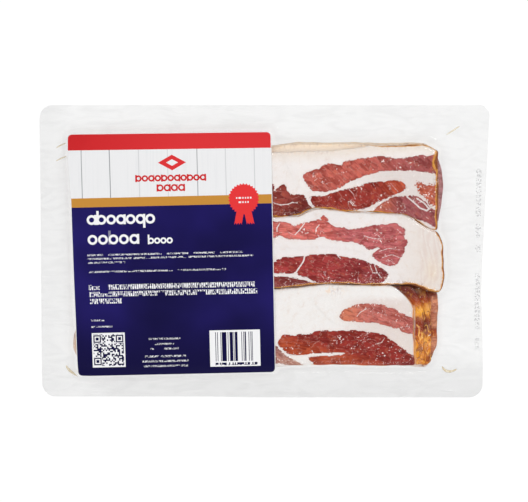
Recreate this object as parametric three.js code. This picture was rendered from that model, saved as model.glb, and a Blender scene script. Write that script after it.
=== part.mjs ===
// A vacuum-packed pouch of streaky bacon, lying flat with its label up.
// Two clear webs are sealed together all round. Between them lie three rows of stacked rashers,
// the middle row lapping over its neighbours, and a printed label is stuck on the upper web.
// Millimetres: +X runs along the rashers, +Y across the rows and +Z up. The origin is on the
// surface that the pouch lies on, under the middle of the pouch.
import * as THREE from "three";

const { lerp, smoothstep, degToRad } = THREE.MathUtils;

// The pouch: the sealed webs with the air and ripples between them, drawn in a little by the
// vacuum at the middle of the right-hand edge.
const POUCH_LENGTH = 290;
const POUCH_WIDTH = 190;
const POUCH_THICKNESS = 1.2;
const POUCH_CORNERS = { topLeft: 8.5, topRight: 6.5, bottomRight: 9, bottomLeft: 9 };
const POUCH_DRAW_IN = { top: 0, waist: 4, bottom: 1.8 };
const WAIST_Y = -30;
const CONTENTS_SHIFT = 0.7; // the stacks and the label lie this much nearer the upper side

// The rows of rashers, with the upper web drawn down on them.
const BACON_LEFT = -122;
const BACON_RIGHT = 111;
const ROW_GAP = 0.4;
const STACK_TOP = 15; // over the middle row
const STACK_FALL = 1.5; // how much lower the outer rows are
const FLAT_HALF_WIDTH = 12; // of the level part of the middle row
const FALL_WIDTH = 35; // over which the tops come down to the outer rows
const FILM_FLARE = 1.6; // how far the web slopes out from the foot of a wall
const FILM_FLARE_MIDDLE = 0.3; // the same at half height
const RESTING_GAP = 0.3;
const TOP_WAVE = 0.18; // the slow rise and fall along each row

// The label.
const LABEL_WIDTH = 128.9; // along its upper edge, before the flare
const LABEL_HEIGHT = 155.7;
const LABEL_THICKNESS = 0.5;
const LABEL_CORNER = 3;
const LABEL_CENTRE = { x: -57.85, y: -1.2 };
const LABEL_TURN = 1.3; // degrees, anticlockwise
const LABEL_TAPER = 1; // how much narrower it is along its lower edge than along its upper
const LABEL_FLARE = 1.6; // how far its upper left corner is drawn out
const LABEL_FLARE_FROM = 30; // the height on it at which the flare starts
const LABEL_BEND = 4; // how far inside the edge of the bacon it starts to bend down
const LABEL_DROOP = 0.02; // how fast it bends down from there
const LABEL_CORNER_DROOP = { fromX: 108, toX: 122, fromY: 52, toY: 70, drop: 1.5 }; // upper left

// How finely the surfaces are divided.
const STATIONS_ALONG = 44;
const STATIONS_ACROSS = 13;
const END_ZONE = 16; // the length of a row's ends, where its stations are closer
const STATIONS_IN_END = 6;
const END_CROWDING = 1.6; // how much closer the outermost of those stand
const LABEL_COLUMNS = 22;
const LABEL_ROWS = 24;
const LABEL_CROWDING = 0.86 * (Math.PI / 2); // its stations follow a sine up to this angle

// A curve through waypoints, level at each one and easing from one to the next.
function easedCurve(waypoints) {
  const last = waypoints.length - 1;
  return (x) => {
    if (x <= waypoints[0][0]) return waypoints[0][1];
    if (x >= waypoints[last][0]) return waypoints[last][1];
    const next = waypoints.findIndex(([at]) => at > x);
    const [x0, y0] = waypoints[next - 1];
    const [x1, y1] = waypoints[next];
    return lerp(y0, y1, smoothstep(x, x0, x1));
  };
}

// The edges between the rows and along the outside of the bacon, as y over x.
const outerUpperEdge = easedCurve([
  [-122, 64], [-108, 68], [5, 67.5], [24, 70.8], [100, 70.4], [112, 67],
]);
const upperSeam = easedCurve([
  [-122, 21], [-60, 24.5], [8, 22.6], [20, 23.3], [34, 28], [60, 25.8], [88, 24.4], [111, 13.5],
]);
const lowerSeam = easedCurve([
  [-122, -24], [-60, -21.5], [5, -23], [40, -20], [92, -20.6], [112, -25.5],
]);
const outerLowerEdge = easedCurve([
  [-122, -71], [-108, -75.5], [5, -75.4], [30, -74], [96, -74.8], [112, -69],
]);

// The height of the tops of the rows, before their edges round off.
function stackTop(y) {
  const fallen = smoothstep(Math.abs(y), FLAT_HALF_WIDTH, FLAT_HALF_WIDTH + FALL_WIDTH);
  return STACK_TOP - STACK_FALL * fallen;
}

// How far the surface has fallen at a distance from an edge that rounds off as a quarter ellipse.
function edgeFall(distance, edge) {
  const inside = Math.min(Math.max(distance / edge.radius, 0), 1);
  return edge.drop * (1 - Math.sqrt(1 - (1 - inside) ** 2));
}

// Each row: its long edges over x, its ends as x over the share of the way across (0 at the lower
// edge, 1 at the upper), how each side rounds off, and whether the side is an outer one.
const ROWS = [
  {
    name: "rashers_upper_row",
    color: 0xc98f86,
    lowEdge: (x) => upperSeam(x) + ROW_GAP / 2,
    highEdge: outerUpperEdge,
    leftEnd: easedCurve([[0, BACON_LEFT], [0.6, BACON_LEFT], [1, BACON_LEFT + 9]]),
    rightEnd: easedCurve([
      [0, BACON_RIGHT], [0.45, BACON_RIGHT + 4], [0.8, BACON_RIGHT + 1], [1, BACON_RIGHT - 2],
    ]),
    low: { radius: 6, drop: 4.5, outer: false },
    high: { radius: 6, drop: 7, outer: true },
    left: { radius: 12, drop: 8 },
    right: { radius: 5, drop: 7 },
    wavePhase: 0.4,
  },
  {
    name: "rashers_middle_row",
    color: 0xd8a79c,
    lowEdge: (x) => lowerSeam(x) + ROW_GAP / 2,
    highEdge: (x) => upperSeam(x) - ROW_GAP / 2,
    leftEnd: easedCurve([[0, BACON_LEFT], [0.5, BACON_LEFT + 1], [1, BACON_LEFT]]),
    rightEnd: easedCurve([
      [0, BACON_RIGHT + 1], [0.3, BACON_RIGHT + 5], [0.75, BACON_RIGHT + 3], [1, BACON_RIGHT],
    ]),
    low: { radius: 2.5, drop: 2, outer: false },
    high: { radius: 2.5, drop: 2, outer: false },
    left: { radius: 8, drop: 8 },
    right: { radius: 5, drop: 7 },
    wavePhase: 2.1,
  },
  {
    name: "rashers_lower_row",
    color: 0xc58b7a,
    lowEdge: outerLowerEdge,
    highEdge: (x) => lowerSeam(x) - ROW_GAP / 2,
    leftEnd: easedCurve([[0, BACON_LEFT + 3], [0.3, BACON_LEFT - 1.6], [1, BACON_LEFT]]),
    rightEnd: easedCurve([
      [0, BACON_RIGHT - 4], [0.13, BACON_RIGHT + 2], [0.85, BACON_RIGHT + 2.6], [1, BACON_RIGHT + 2],
    ]),
    low: { radius: 5, drop: 7.5, outer: true },
    high: { radius: 5, drop: 4, outer: false },
    left: { radius: 6, drop: 7 },
    right: { radius: 13, drop: 6.5 },
    wavePhase: 4.0,
  },
];

// Where the stations along a row stand: level with those of its neighbours, so that the faceted
// edges of two rows run side by side, and gathered towards the ends, which aren't straight.
function stationX(row, along, across) {
  const left = row.leftEnd(across);
  const right = row.rightEnd(across);
  const innerLeft = BACON_LEFT + END_ZONE;
  const innerRight = BACON_RIGHT - END_ZONE;
  const inner = STATIONS_ALONG - 2 * STATIONS_IN_END;
  if (along < STATIONS_IN_END) {
    return lerp(left, innerLeft, (along / STATIONS_IN_END) ** END_CROWDING);
  }
  if (along > STATIONS_ALONG - STATIONS_IN_END) {
    return lerp(right, innerRight, ((STATIONS_ALONG - along) / STATIONS_IN_END) ** END_CROWDING);
  }
  return lerp(innerLeft, innerRight, (along - STATIONS_IN_END) / inner);
}

// The share of the way across a row at a station, gathered towards both edges.
function stationShare(across) {
  return 0.5 - 0.5 * Math.cos((Math.PI * across) / STATIONS_ACROSS);
}

// A point on the upper surface of a row. The falls of the four sides join at the corners.
function rowTopPoint(row, along, across) {
  const share = stationShare(across);
  const x = stationX(row, along, share);
  const low = row.lowEdge(x);
  const high = row.highEdge(x);
  const y = lerp(low, high, share);
  const fall = Math.hypot(
    edgeFall(y - low, row.low),
    edgeFall(high - y, row.high),
    edgeFall(x - row.leftEnd(share), row.left),
    edgeFall(row.rightEnd(share) - x, row.right),
  );
  const wave = TOP_WAVE * (Math.sin(x / 19 + row.wavePhase) - 1);
  return [x, y, stackTop(y) - fall + wave];
}

// The closed body of a row: its upper surface, walls that flare where the web meets the pouch, and
// a flat underside.
function rowGeometry(row) {
  const points = [];
  const faces = [];
  const columns = STATIONS_ACROSS + 1;
  for (let along = 0; along <= STATIONS_ALONG; along++) {
    for (let across = 0; across <= STATIONS_ACROSS; across++) {
      points.push(rowTopPoint(row, along, across));
    }
  }
  const at = (along, across) => along * columns + across;
  for (let along = 0; along < STATIONS_ALONG; along++) {
    for (let across = 0; across < STATIONS_ACROSS; across++) {
      const near = at(along, across);
      const far = at(along + 1, across + 1);
      faces.push([near, at(along + 1, across), far], [near, far, at(along, across + 1)]);
    }
  }

  // Once round the edge, anticlockwise from the lower left corner, with the way each place faces.
  const rim = [];
  for (let along = 0; along < STATIONS_ALONG; along++) rim.push([along, 0]);
  for (let across = 0; across < STATIONS_ACROSS; across++) rim.push([STATIONS_ALONG, across]);
  for (let along = STATIONS_ALONG; along > 0; along--) rim.push([along, STATIONS_ACROSS]);
  for (let across = STATIONS_ACROSS; across > 0; across--) rim.push([0, across]);
  const outward = ([along, across]) => [
    (along === STATIONS_ALONG) - (along === 0),
    (across === STATIONS_ACROSS && row.high.outer) - (across === 0 && row.low.outer),
  ];

  const foot = POUCH_THICKNESS + RESTING_GAP;
  let upper = rim.map(([along, across]) => at(along, across));
  for (const [share, flare] of [[0.5, FILM_FLARE_MIDDLE], [0, FILM_FLARE]]) {
    const lower = rim.map((place, i) => {
      const [x, y, z] = points[at(...place)];
      const [outX, outY] = outward(place);
      points.push([x + outX * flare, y + outY * flare, lerp(foot, z, share)]);
      return points.length - 1;
    });
    upper.forEach((corner, i) => {
      const next = (i + 1) % upper.length;
      faces.push([corner, lower[i], lower[next]], [corner, lower[next], upper[next]]);
    });
    upper = lower;
  }
  const outline = upper.map((i) => new THREE.Vector2(points[i][0], points[i][1]));
  for (const [a, b, c] of THREE.ShapeUtils.triangulateShape(outline, [])) {
    faces.push([upper[a], upper[c], upper[b]]);
  }
  return bodyOf(points, faces);
}

function bodyOf(points, faces) {
  const geometry = new THREE.BufferGeometry();
  geometry.setAttribute("position", new THREE.Float32BufferAttribute(points.flat(), 3));
  geometry.setIndex(faces.flat());
  geometry.computeVertexNormals();
  return geometry;
}

// The flat pouch, cut with round corners.
function pouchGeometry() {
  const left = -POUCH_LENGTH / 2;
  const right = POUCH_LENGTH / 2;
  const bottom = -POUCH_WIDTH / 2;
  const top = POUCH_WIDTH / 2;
  const { topLeft, topRight, bottomRight, bottomLeft } = POUCH_CORNERS;
  const quarter = Math.PI / 2;
  const lowerRight = right - POUCH_DRAW_IN.bottom;
  const waist = right - POUCH_DRAW_IN.waist;
  const upperRight = right - POUCH_DRAW_IN.top;
  const outline = new THREE.Shape();
  outline.moveTo(left + bottomLeft, bottom);
  outline.absarc(lowerRight - bottomRight, bottom + bottomRight, bottomRight, -quarter, 0, false);
  outline.quadraticCurveTo(lowerRight, WAIST_Y - 30, waist, WAIST_Y);
  outline.quadraticCurveTo(waist, WAIST_Y + 30, upperRight, top - topRight);
  outline.absarc(upperRight - topRight, top - topRight, topRight, 0, quarter, false);
  outline.absarc(left + topLeft, top - topLeft, topLeft, quarter, 2 * quarter, false);
  outline.absarc(left + bottomLeft, bottom + bottomLeft, bottomLeft, 2 * quarter, 3 * quarter, false);
  return new THREE.ExtrudeGeometry(outline, {
    depth: POUCH_THICKNESS,
    bevelEnabled: false,
    curveSegments: 8,
  });
}

// A place on the label, from -1 to 1 each way over its flat cut, with its corners rounded.
function labelPlan(across, up) {
  const halfHeight = LABEL_HEIGHT / 2;
  const flatY = up * halfHeight;
  const flare = across < 0 ? LABEL_FLARE * smoothstep(flatY, LABEL_FLARE_FROM, halfHeight) : 0;
  const halfWidth = LABEL_WIDTH / 2 - (LABEL_TAPER / 4) * (1 - up) + flare;
  const flatX = across * halfWidth;
  const pastX = Math.max(Math.abs(flatX) - (halfWidth - LABEL_CORNER), 0);
  const pastY = Math.max(Math.abs(flatY) - (halfHeight - LABEL_CORNER), 0);
  const far = Math.max(pastX, pastY);
  const pull = far > 0 ? far / Math.hypot(pastX, pastY) : 1;
  const x = flatX - Math.sign(flatX) * pastX * (1 - pull);
  const y = flatY - Math.sign(flatY) * pastY * (1 - pull);
  const turn = degToRad(LABEL_TURN);
  return [
    LABEL_CENTRE.x + x * Math.cos(turn) - y * Math.sin(turn),
    LABEL_CENTRE.y + x * Math.sin(turn) + y * Math.cos(turn),
  ];
}

// The underside of the label: stretched over the tops of the rows, bending down past the edges of
// the bacon, and most at the upper left corner.
function labelHeight(x, y) {
  const past = (distance) => LABEL_DROOP * Math.max(distance + LABEL_BEND, 0) ** 2;
  const droop = past(y - outerUpperEdge(x)) + past(outerLowerEdge(x) - y) + past(BACON_LEFT - x);
  const { fromX, toX, fromY, toY, drop } = LABEL_CORNER_DROOP;
  const corner = drop * smoothstep(-x, fromX, toX) * smoothstep(y, fromY, toY);
  return stackTop(y) + RESTING_GAP - droop - corner;
}

function labelGeometry() {
  const points = [];
  const faces = [];
  const columns = LABEL_COLUMNS + 1;
  const sheetSize = columns * (LABEL_ROWS + 1);
  const spread = (i, n) => Math.sin(LABEL_CROWDING * ((2 * i) / n - 1)) / Math.sin(LABEL_CROWDING);
  for (const lift of [0, LABEL_THICKNESS]) {
    for (let row = 0; row <= LABEL_ROWS; row++) {
      for (let column = 0; column <= LABEL_COLUMNS; column++) {
        const [x, y] = labelPlan(spread(column, LABEL_COLUMNS), spread(row, LABEL_ROWS));
        points.push([x, y, labelHeight(x, y) + lift]);
      }
    }
  }
  const at = (row, column) => row * columns + column;
  for (let row = 0; row < LABEL_ROWS; row++) {
    for (let column = 0; column < LABEL_COLUMNS; column++) {
      const square = [at(row, column), at(row, column + 1), at(row + 1, column + 1), at(row + 1, column)];
      const [a, b, c, d] = square;
      const [e, f, g, h] = square.map((corner) => corner + sheetSize);
      faces.push([a, c, b], [a, d, c], [e, f, g], [e, g, h]);
    }
  }
  const rim = [];
  for (let column = 0; column < LABEL_COLUMNS; column++) rim.push(at(0, column));
  for (let row = 0; row < LABEL_ROWS; row++) rim.push(at(row, LABEL_COLUMNS));
  for (let column = LABEL_COLUMNS; column > 0; column--) rim.push(at(LABEL_ROWS, column));
  for (let row = LABEL_ROWS; row > 0; row--) rim.push(at(row, 0));
  rim.forEach((a, i) => {
    const b = rim[(i + 1) % rim.length];
    faces.push([a, b, b + sheetSize], [a, b + sheetSize, a + sheetSize]);
  });
  return bodyOf(points, faces);
}

// A named piece; what lies in the pouch or on it takes the contents' shift.
function piece(name, geometry, shift, color, roughness) {
  geometry.translate(0, shift, 0);
  const material = new THREE.MeshStandardMaterial({ color, roughness, metalness: 0 });
  const mesh = new THREE.Mesh(geometry, material);
  mesh.name = name;
  return mesh;
}

const baconPack = new THREE.Group();
baconPack.add(piece("pouch", pouchGeometry(), 0, 0xe9ebec, 0.2));
for (const row of ROWS) {
  baconPack.add(piece(row.name, rowGeometry(row), CONTENTS_SHIFT, row.color, 0.3));
}
baconPack.add(piece("label", labelGeometry(), CONTENTS_SHIFT, 0x231d53, 0.45));

export default baconPack;
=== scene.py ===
import bpy
import numpy as np
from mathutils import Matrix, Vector


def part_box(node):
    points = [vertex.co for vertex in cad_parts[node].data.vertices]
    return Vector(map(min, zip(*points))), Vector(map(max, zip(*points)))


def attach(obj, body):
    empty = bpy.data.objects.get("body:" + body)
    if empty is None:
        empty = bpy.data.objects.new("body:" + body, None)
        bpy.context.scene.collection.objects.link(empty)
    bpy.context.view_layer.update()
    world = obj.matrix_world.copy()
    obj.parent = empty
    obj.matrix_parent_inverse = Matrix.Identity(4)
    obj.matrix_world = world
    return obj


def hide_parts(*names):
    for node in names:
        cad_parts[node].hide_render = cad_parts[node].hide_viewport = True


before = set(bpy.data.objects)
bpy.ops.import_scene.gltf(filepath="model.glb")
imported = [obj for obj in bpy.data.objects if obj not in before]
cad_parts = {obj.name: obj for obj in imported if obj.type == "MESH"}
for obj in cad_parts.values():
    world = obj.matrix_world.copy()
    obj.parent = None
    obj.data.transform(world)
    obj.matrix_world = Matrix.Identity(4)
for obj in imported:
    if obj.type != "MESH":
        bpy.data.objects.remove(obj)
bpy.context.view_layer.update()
MM = 0.001


# ---- The stacks -------------------------------------------------------------------------------
# Fifteen rashers, cut from smoked, cured belly and dealt into three stacks of five, side by side.
# The middle stack is a little higher, and its top rasher laps over both neighbours.
LAYERS = 5
BACON_LEFT = -122.0
BACON_RIGHT = 111.0
STACK_LENGTH = BACON_RIGHT - BACON_LEFT
STACK_FOOT = 0.9
STACK_TOP = 15.0
STACK_FALL = 1.5  # how much lower the outer stacks are
FLAT_HALF_WIDTH = 12.0  # of the level part of the middle stack
FALL_WIDTH = 35.0
TOP_WAVE = 0.18
ROW_GAP = 0.4
CONTENTS_SHIFT = 0.7  # what lies in the pouch or on it is this much nearer the upper side
LABEL_EDGE = 4.0  # the x from which the bacon shows, clear of the label
EDGE_ROUND = 0.8  # how far in from its rim a rasher has its full thickness
PRESSED = 0.98  # the share of its layer that a rasher's thickness fills
SAG_WIDTH = 5.0  # how far in from its side a rasher sags
SAG = 0.5


def ease(value, start, end):
    """3t² - 2t³, where t goes from 0 at start to 1 at end."""
    t = np.clip((value - start) / (end - start), 0, 1)
    return t * t * (3 - 2 * t)


def eased_curve(waypoints):
    """y over x: level at each waypoint, and easing by 3t² - 2t³ from one to the next."""
    xs, ys = np.array(waypoints, float).T

    def curve(x):
        x = np.clip(x, xs[0], xs[-1])
        after = np.clip(np.searchsorted(xs, x, side="right"), 1, len(xs) - 1)
        share = ease(x, xs[after - 1], xs[after])
        return ys[after - 1] + (ys[after] - ys[after - 1]) * share

    return curve


outer_upper_edge = eased_curve([(-122, 64), (-108, 68), (5, 69), (24, 70.8), (100, 70.4), (112, 67)])
upper_seam = eased_curve(
    [(-122, 21), (-60, 24.5), (8, 22.6), (20, 23.3), (34, 28), (60, 25.8), (88, 24.4), (111, 13.5)]
)
lower_seam = eased_curve([(-122, -24), (-60, -21.5), (5, -23), (40, -20), (92, -20.6), (112, -25.5)])
outer_lower_edge = eased_curve(
    [(-122, -71), (-108, -75.5), (5, -75.4), (30, -74), (96, -74.6), (105, -74.4), (113, -70)]
)


def fitted_curve(points, degree):
    """The polynomial of a degree that comes nearest to the points."""
    xs, ys = np.array(points, float).T
    terms = np.polyfit(xs, ys, degree)
    return lambda x: np.polyval(terms, x)


def stack_top(y):
    """The height of the tops: level over the middle stack and easing down to the outer ones."""
    return STACK_TOP - STACK_FALL * ease(np.abs(y), FLAT_HALF_WIDTH, FLAT_HALF_WIDTH + FALL_WIDTH)


def quarter_round(distance, radius):
    """√(1 - (1 - distance / radius)²): 0 at an edge, and 1 from a radius in from it."""
    return np.sqrt(1 - (1 - np.clip(distance / radius, 0, 1)) ** 2)


class Stack:
    """Five rashers on each other: two long edges, as y over x, two ends, as x over the share of
    the way across, and the radius and depth of the top's fall along each long edge. The phase
    shifts the wave of its tops, and the wobble the waves of its rashers' sides."""

    def __init__(self, low, high, left, right, low_fall, high_fall, phase, wobble):
        self.low, self.high = low, high
        self.left, self.right = left, right
        self.low_fall, self.high_fall = low_fall, high_fall
        self.phase, self.wobble = phase, wobble
        shown = np.linspace(0, 100, 50)
        self.width = float(np.mean(high(shown) - low(shown)))

    def top(self, x, y):
        """The tops' height, less a quarter-round fall to each neighbour and a slow wave along."""
        low_radius, low_depth = self.low_fall
        high_radius, high_depth = self.high_fall
        low = low_depth * (1 - quarter_round(y - self.low(x), low_radius))
        high = high_depth * (1 - quarter_round(self.high(x) - y, high_radius))
        wave = TOP_WAVE * (np.sin(x / 19 + self.phase) - 1)
        return stack_top(y) - np.hypot(low, high) + wave


class Rasher:
    """One rasher of a stack. Its layer counts from 0 at the bottom. Each inset (low, high, left
    and right) says how far in from the stack's side its own side stands, as a number, or over x
    for a long side and over the share across for an end. Two sines make each side wavy."""

    def __init__(self, stack, layer, insets):
        self.stack, self.layer = stack, layer
        self.wobble = layer * 1.7 + stack.wobble
        self.insets = [each if callable(each) else (lambda at, by=each: by + 0 * at) for each in insets]

    def low(self, x):
        wavy = 0.22 * np.sin(x / 6.3 + self.wobble) + 0.12 * np.sin(x / 2.1 + 2 * self.wobble)
        return self.stack.low(x) + self.insets[0](x) + 0.3 + wavy

    def high(self, x):
        wavy = 0.22 * np.sin(x / 5.7 - self.wobble) + 0.12 * np.sin(x / 1.9 + self.wobble)
        return self.stack.high(x) - self.insets[1](x) - 0.3 + wavy

    def left(self, share):
        wavy = 0.35 * np.sin(11 * share + self.wobble) + 0.15 * np.sin(31 * share)
        return self.stack.left(share) + self.insets[2](share) + 0.5 + wavy

    def right(self, share):
        wavy = 0.25 * np.sin(9 * share - self.wobble) + 0.12 * np.sin(27 * share)
        return self.stack.right(share) - self.insets[3](share) - 0.2 + wavy

    def sides(self, x, y):
        """The distances in from the low and high edges and the left and right ends."""
        low, high = self.low(x), self.high(x)
        share = np.clip((y - low) / (high - low), 0, 1)
        return y - low, high - y, x - self.left(share), self.right(share) - x

    def faces(self, x, y, rim):
        """The heights of the upper and the lower face at places a distance in from the rim. Each
        rasher has a fifth of the stack's height, its edge is half round, and its outer sides sag
        by the square of how near they are."""
        share_up = (self.layer + 0.5) / LAYERS
        depth = self.stack.top(x, y) - STACK_FOOT
        half = PRESSED * depth / LAYERS / 2 * quarter_round(rim, EDGE_ROUND)
        near = np.minimum.reduce(self.sides(x, y))
        middle = STACK_FOOT + depth * share_up - SAG * (1 - np.clip(near / SAG_WIDTH, 0, 1)) ** 2
        return middle + half, middle - half


upper_stack = Stack(
    low=lambda x: upper_seam(x) + ROW_GAP / 2,
    high=outer_upper_edge,
    left=eased_curve([(0, BACON_LEFT), (0.6, BACON_LEFT), (1, BACON_LEFT + 9)]),
    right=fitted_curve([(0, 111), (0.2, 113), (0.45, 115), (0.62, 115), (0.8, 112.5), (1, 109.5)], 3),
    low_fall=(5, 1.2),
    high_fall=(1, 0),
    phase=0.4,
    wobble=442.0,
)
middle_stack = Stack(
    low=lambda x: lower_seam(x) + ROW_GAP / 2,
    high=lambda x: upper_seam(x) - ROW_GAP / 2,
    left=eased_curve([(0, BACON_LEFT), (0.5, BACON_LEFT + 1), (1, BACON_LEFT)]),
    right=fitted_curve(
        [(0, 112.4), (0.14, 115.2), (0.29, 116.1), (0.49, 115.8), (0.74, 115), (0.9, 113.2), (1, 110.5)], 4
    ),
    low_fall=(1.8, 0.6),
    high_fall=(1.8, 0.5),
    phase=2.1,
    wobble=414.0,
)
lower_stack = Stack(
    low=outer_lower_edge,
    high=lambda x: lower_seam(x) - ROW_GAP / 2,
    left=eased_curve([(0, BACON_LEFT), (0.2, BACON_LEFT - 2.0), (0.5, BACON_LEFT + 0.3), (1, BACON_LEFT)]),
    right=eased_curve([(0, 108.6), (0.08, 110.6), (0.18, 113.2), (0.85, 113.6), (1, 113)]),
    low_fall=(1, 0),
    high_fall=(5, 1.4),
    phase=4.0,
    wobble=439.0,
)


def stations(length, coarse, fine, fine_from):
    """Places along a length: crowded at both rims, coarse up to fine_from and fine from there."""
    rim = np.array([0, 0.07, 0.25, 0.5, 0.8, 1.15])
    wide = np.linspace(rim[-1], fine_from, int((fine_from - rim[-1]) / coarse) + 1)[1:]
    close = np.linspace(wide[-1], length - rim[-1], int((length - wide[-1]) / fine) + 1)[1:]
    return np.concatenate([rim, wide, close, length - rim[-2::-1]])


def rounded_plan(length, width, along, across, radii):
    """A grid over a rectangle about the origin, from its stations along and across, and how far in
    from the rim each of its points is. The radii are those of the corners at the lower and upper
    left and at the lower and upper right. Where a point is past the inner corner both ways, it
    slides towards it until it lies on the arc through the same largest distance."""
    a, b = np.meshgrid(along, across, indexing="ij")
    rim = np.minimum.reduce([a, length - a, b, width - b])
    is_left, is_upper = a < length / 2, b > width / 2
    radius = np.where(is_left, np.where(is_upper, radii[1], radii[0]), np.where(is_upper, radii[3], radii[2]))
    u, v = a - length / 2, b - width / 2
    past_u = np.maximum(np.abs(u) - (length / 2 - radius), 0)
    past_v = np.maximum(np.abs(v) - (width / 2 - radius), 0)
    far = np.maximum(past_u, past_v)
    pull = np.where(far > 0, far / np.maximum(np.hypot(past_u, past_v), 1e-9), 1)
    return u - np.sign(u) * past_u * (1 - pull), v - np.sign(v) * past_v * (1 - pull), rim


def closed_grid(x, y, above, below):
    """The points and faces of a body between two heights over one plan, which meet at its rim."""
    upper, lower = np.stack([x, y, above], -1), np.stack([x, y, below], -1)
    rows, columns = upper.shape[:2]
    top = np.arange(rows * columns).reshape(rows, columns)
    bottom = top.copy()
    bottom[1:-1, 1:-1] = rows * columns + np.arange((rows - 2) * (columns - 2)).reshape(rows - 2, -1)
    points = np.concatenate([upper.reshape(-1, 3), lower[1:-1, 1:-1].reshape(-1, 3)])

    def quads(at):
        corners = [at[:-1, :-1], at[1:, :-1], at[1:, 1:], at[:-1, 1:]]
        return np.stack(corners, -1).reshape(-1, 4)

    return points, np.concatenate([quads(top), quads(bottom)[:, ::-1]])


ATTRIBUTE_KINDS = {1: ("FLOAT", "value"), 3: ("FLOAT_VECTOR", "vector"), 4: ("FLOAT_COLOR", "color")}


def add_piece(name, points, faces, material, marks=None, below=1, shift=CONTENTS_SHIFT):
    """Makes a smooth mesh object from points in millimetres and gives it to the pack's body. Marks
    are attributes over its upper face: numbers, vectors or colours. The lower face takes the same
    times what below says."""
    mesh = bpy.data.meshes.new(name)
    mesh.from_pydata(((points + [0, shift, 0]) * MM).tolist(), [], faces.tolist())
    for label, values in (marks or {}).items():
        tail, inner = values.shape[2:], below * values[1:-1, 1:-1]
        values = np.concatenate([values.reshape(-1, *tail), inner.reshape(-1, *tail)]).astype(np.float32)
        kind, field = ATTRIBUTE_KINDS[values.shape[1] if values.ndim == 2 else 1]
        mesh.attributes.new(label, kind, "POINT").data.foreach_set(field, values.ravel())
    mesh.polygons.foreach_set("use_smooth", [True] * len(mesh.polygons))
    mesh.materials.append(material)
    piece = bpy.data.objects.new(name, mesh)
    bpy.context.scene.collection.objects.link(piece)
    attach(piece, "root")
    return piece


# ---- The meat ---------------------------------------------------------------------------------
# Cured belly: dark pink lean in long tapering pieces, waxy white fat between them, thin seams of
# gristle, and a gold to brown skin of smoke on the edges that were the outside of the slab.
class Value:
    """A number, colour or vector on a shader socket. Its operators add Math nodes, and of two masks
    a | b is the larger."""

    def __init__(self, finish, socket):
        self.finish, self.socket = finish, socket

    def __add__(self, other):
        return self.finish.math("ADD", self, other)

    __radd__ = __add__

    def __sub__(self, other):
        return self.finish.math("SUBTRACT", self, other)

    def __rsub__(self, other):
        return self.finish.math("SUBTRACT", other, self)

    def __mul__(self, other):
        return self.finish.math("MULTIPLY", self, other)

    __rmul__ = __mul__

    def __truediv__(self, other):
        return self.finish.math("DIVIDE", self, other)

    def __or__(self, other):
        return self.finish.math("MAXIMUM", self, other)

    def __abs__(self):
        return self.finish.math("ABSOLUTE", self)

    def output(self, name):
        """Another output of the same node."""
        return Value(self.finish, self.socket.node.outputs[name])

    def cell(self, size):
        """The number of the cell of this size that the value lies in."""
        return self.finish.math("FLOOR", self / size)

    def near(self, middle, half):
        """1 up to half either side of a middle, and 0 elsewhere."""
        return self.finish.math("COMPARE", self, middle, half)

    def zigzag(self, length):
        """Runs evenly from 0 up to a length and back again."""
        return self.finish.math("PINGPONG", self, length)

    def step(self, low, high):
        """0 below low and 1 above high, eased between them."""
        values = {"Value": self, "From Min": low, "From Max": high}
        return self.finish.node("MapRange", {"interpolation_type": "SMOOTHSTEP"}, values)

    def over(self, threshold):
        """0 up to a threshold and 1 above it."""
        return self.step(threshold, threshold + 0.01)


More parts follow.
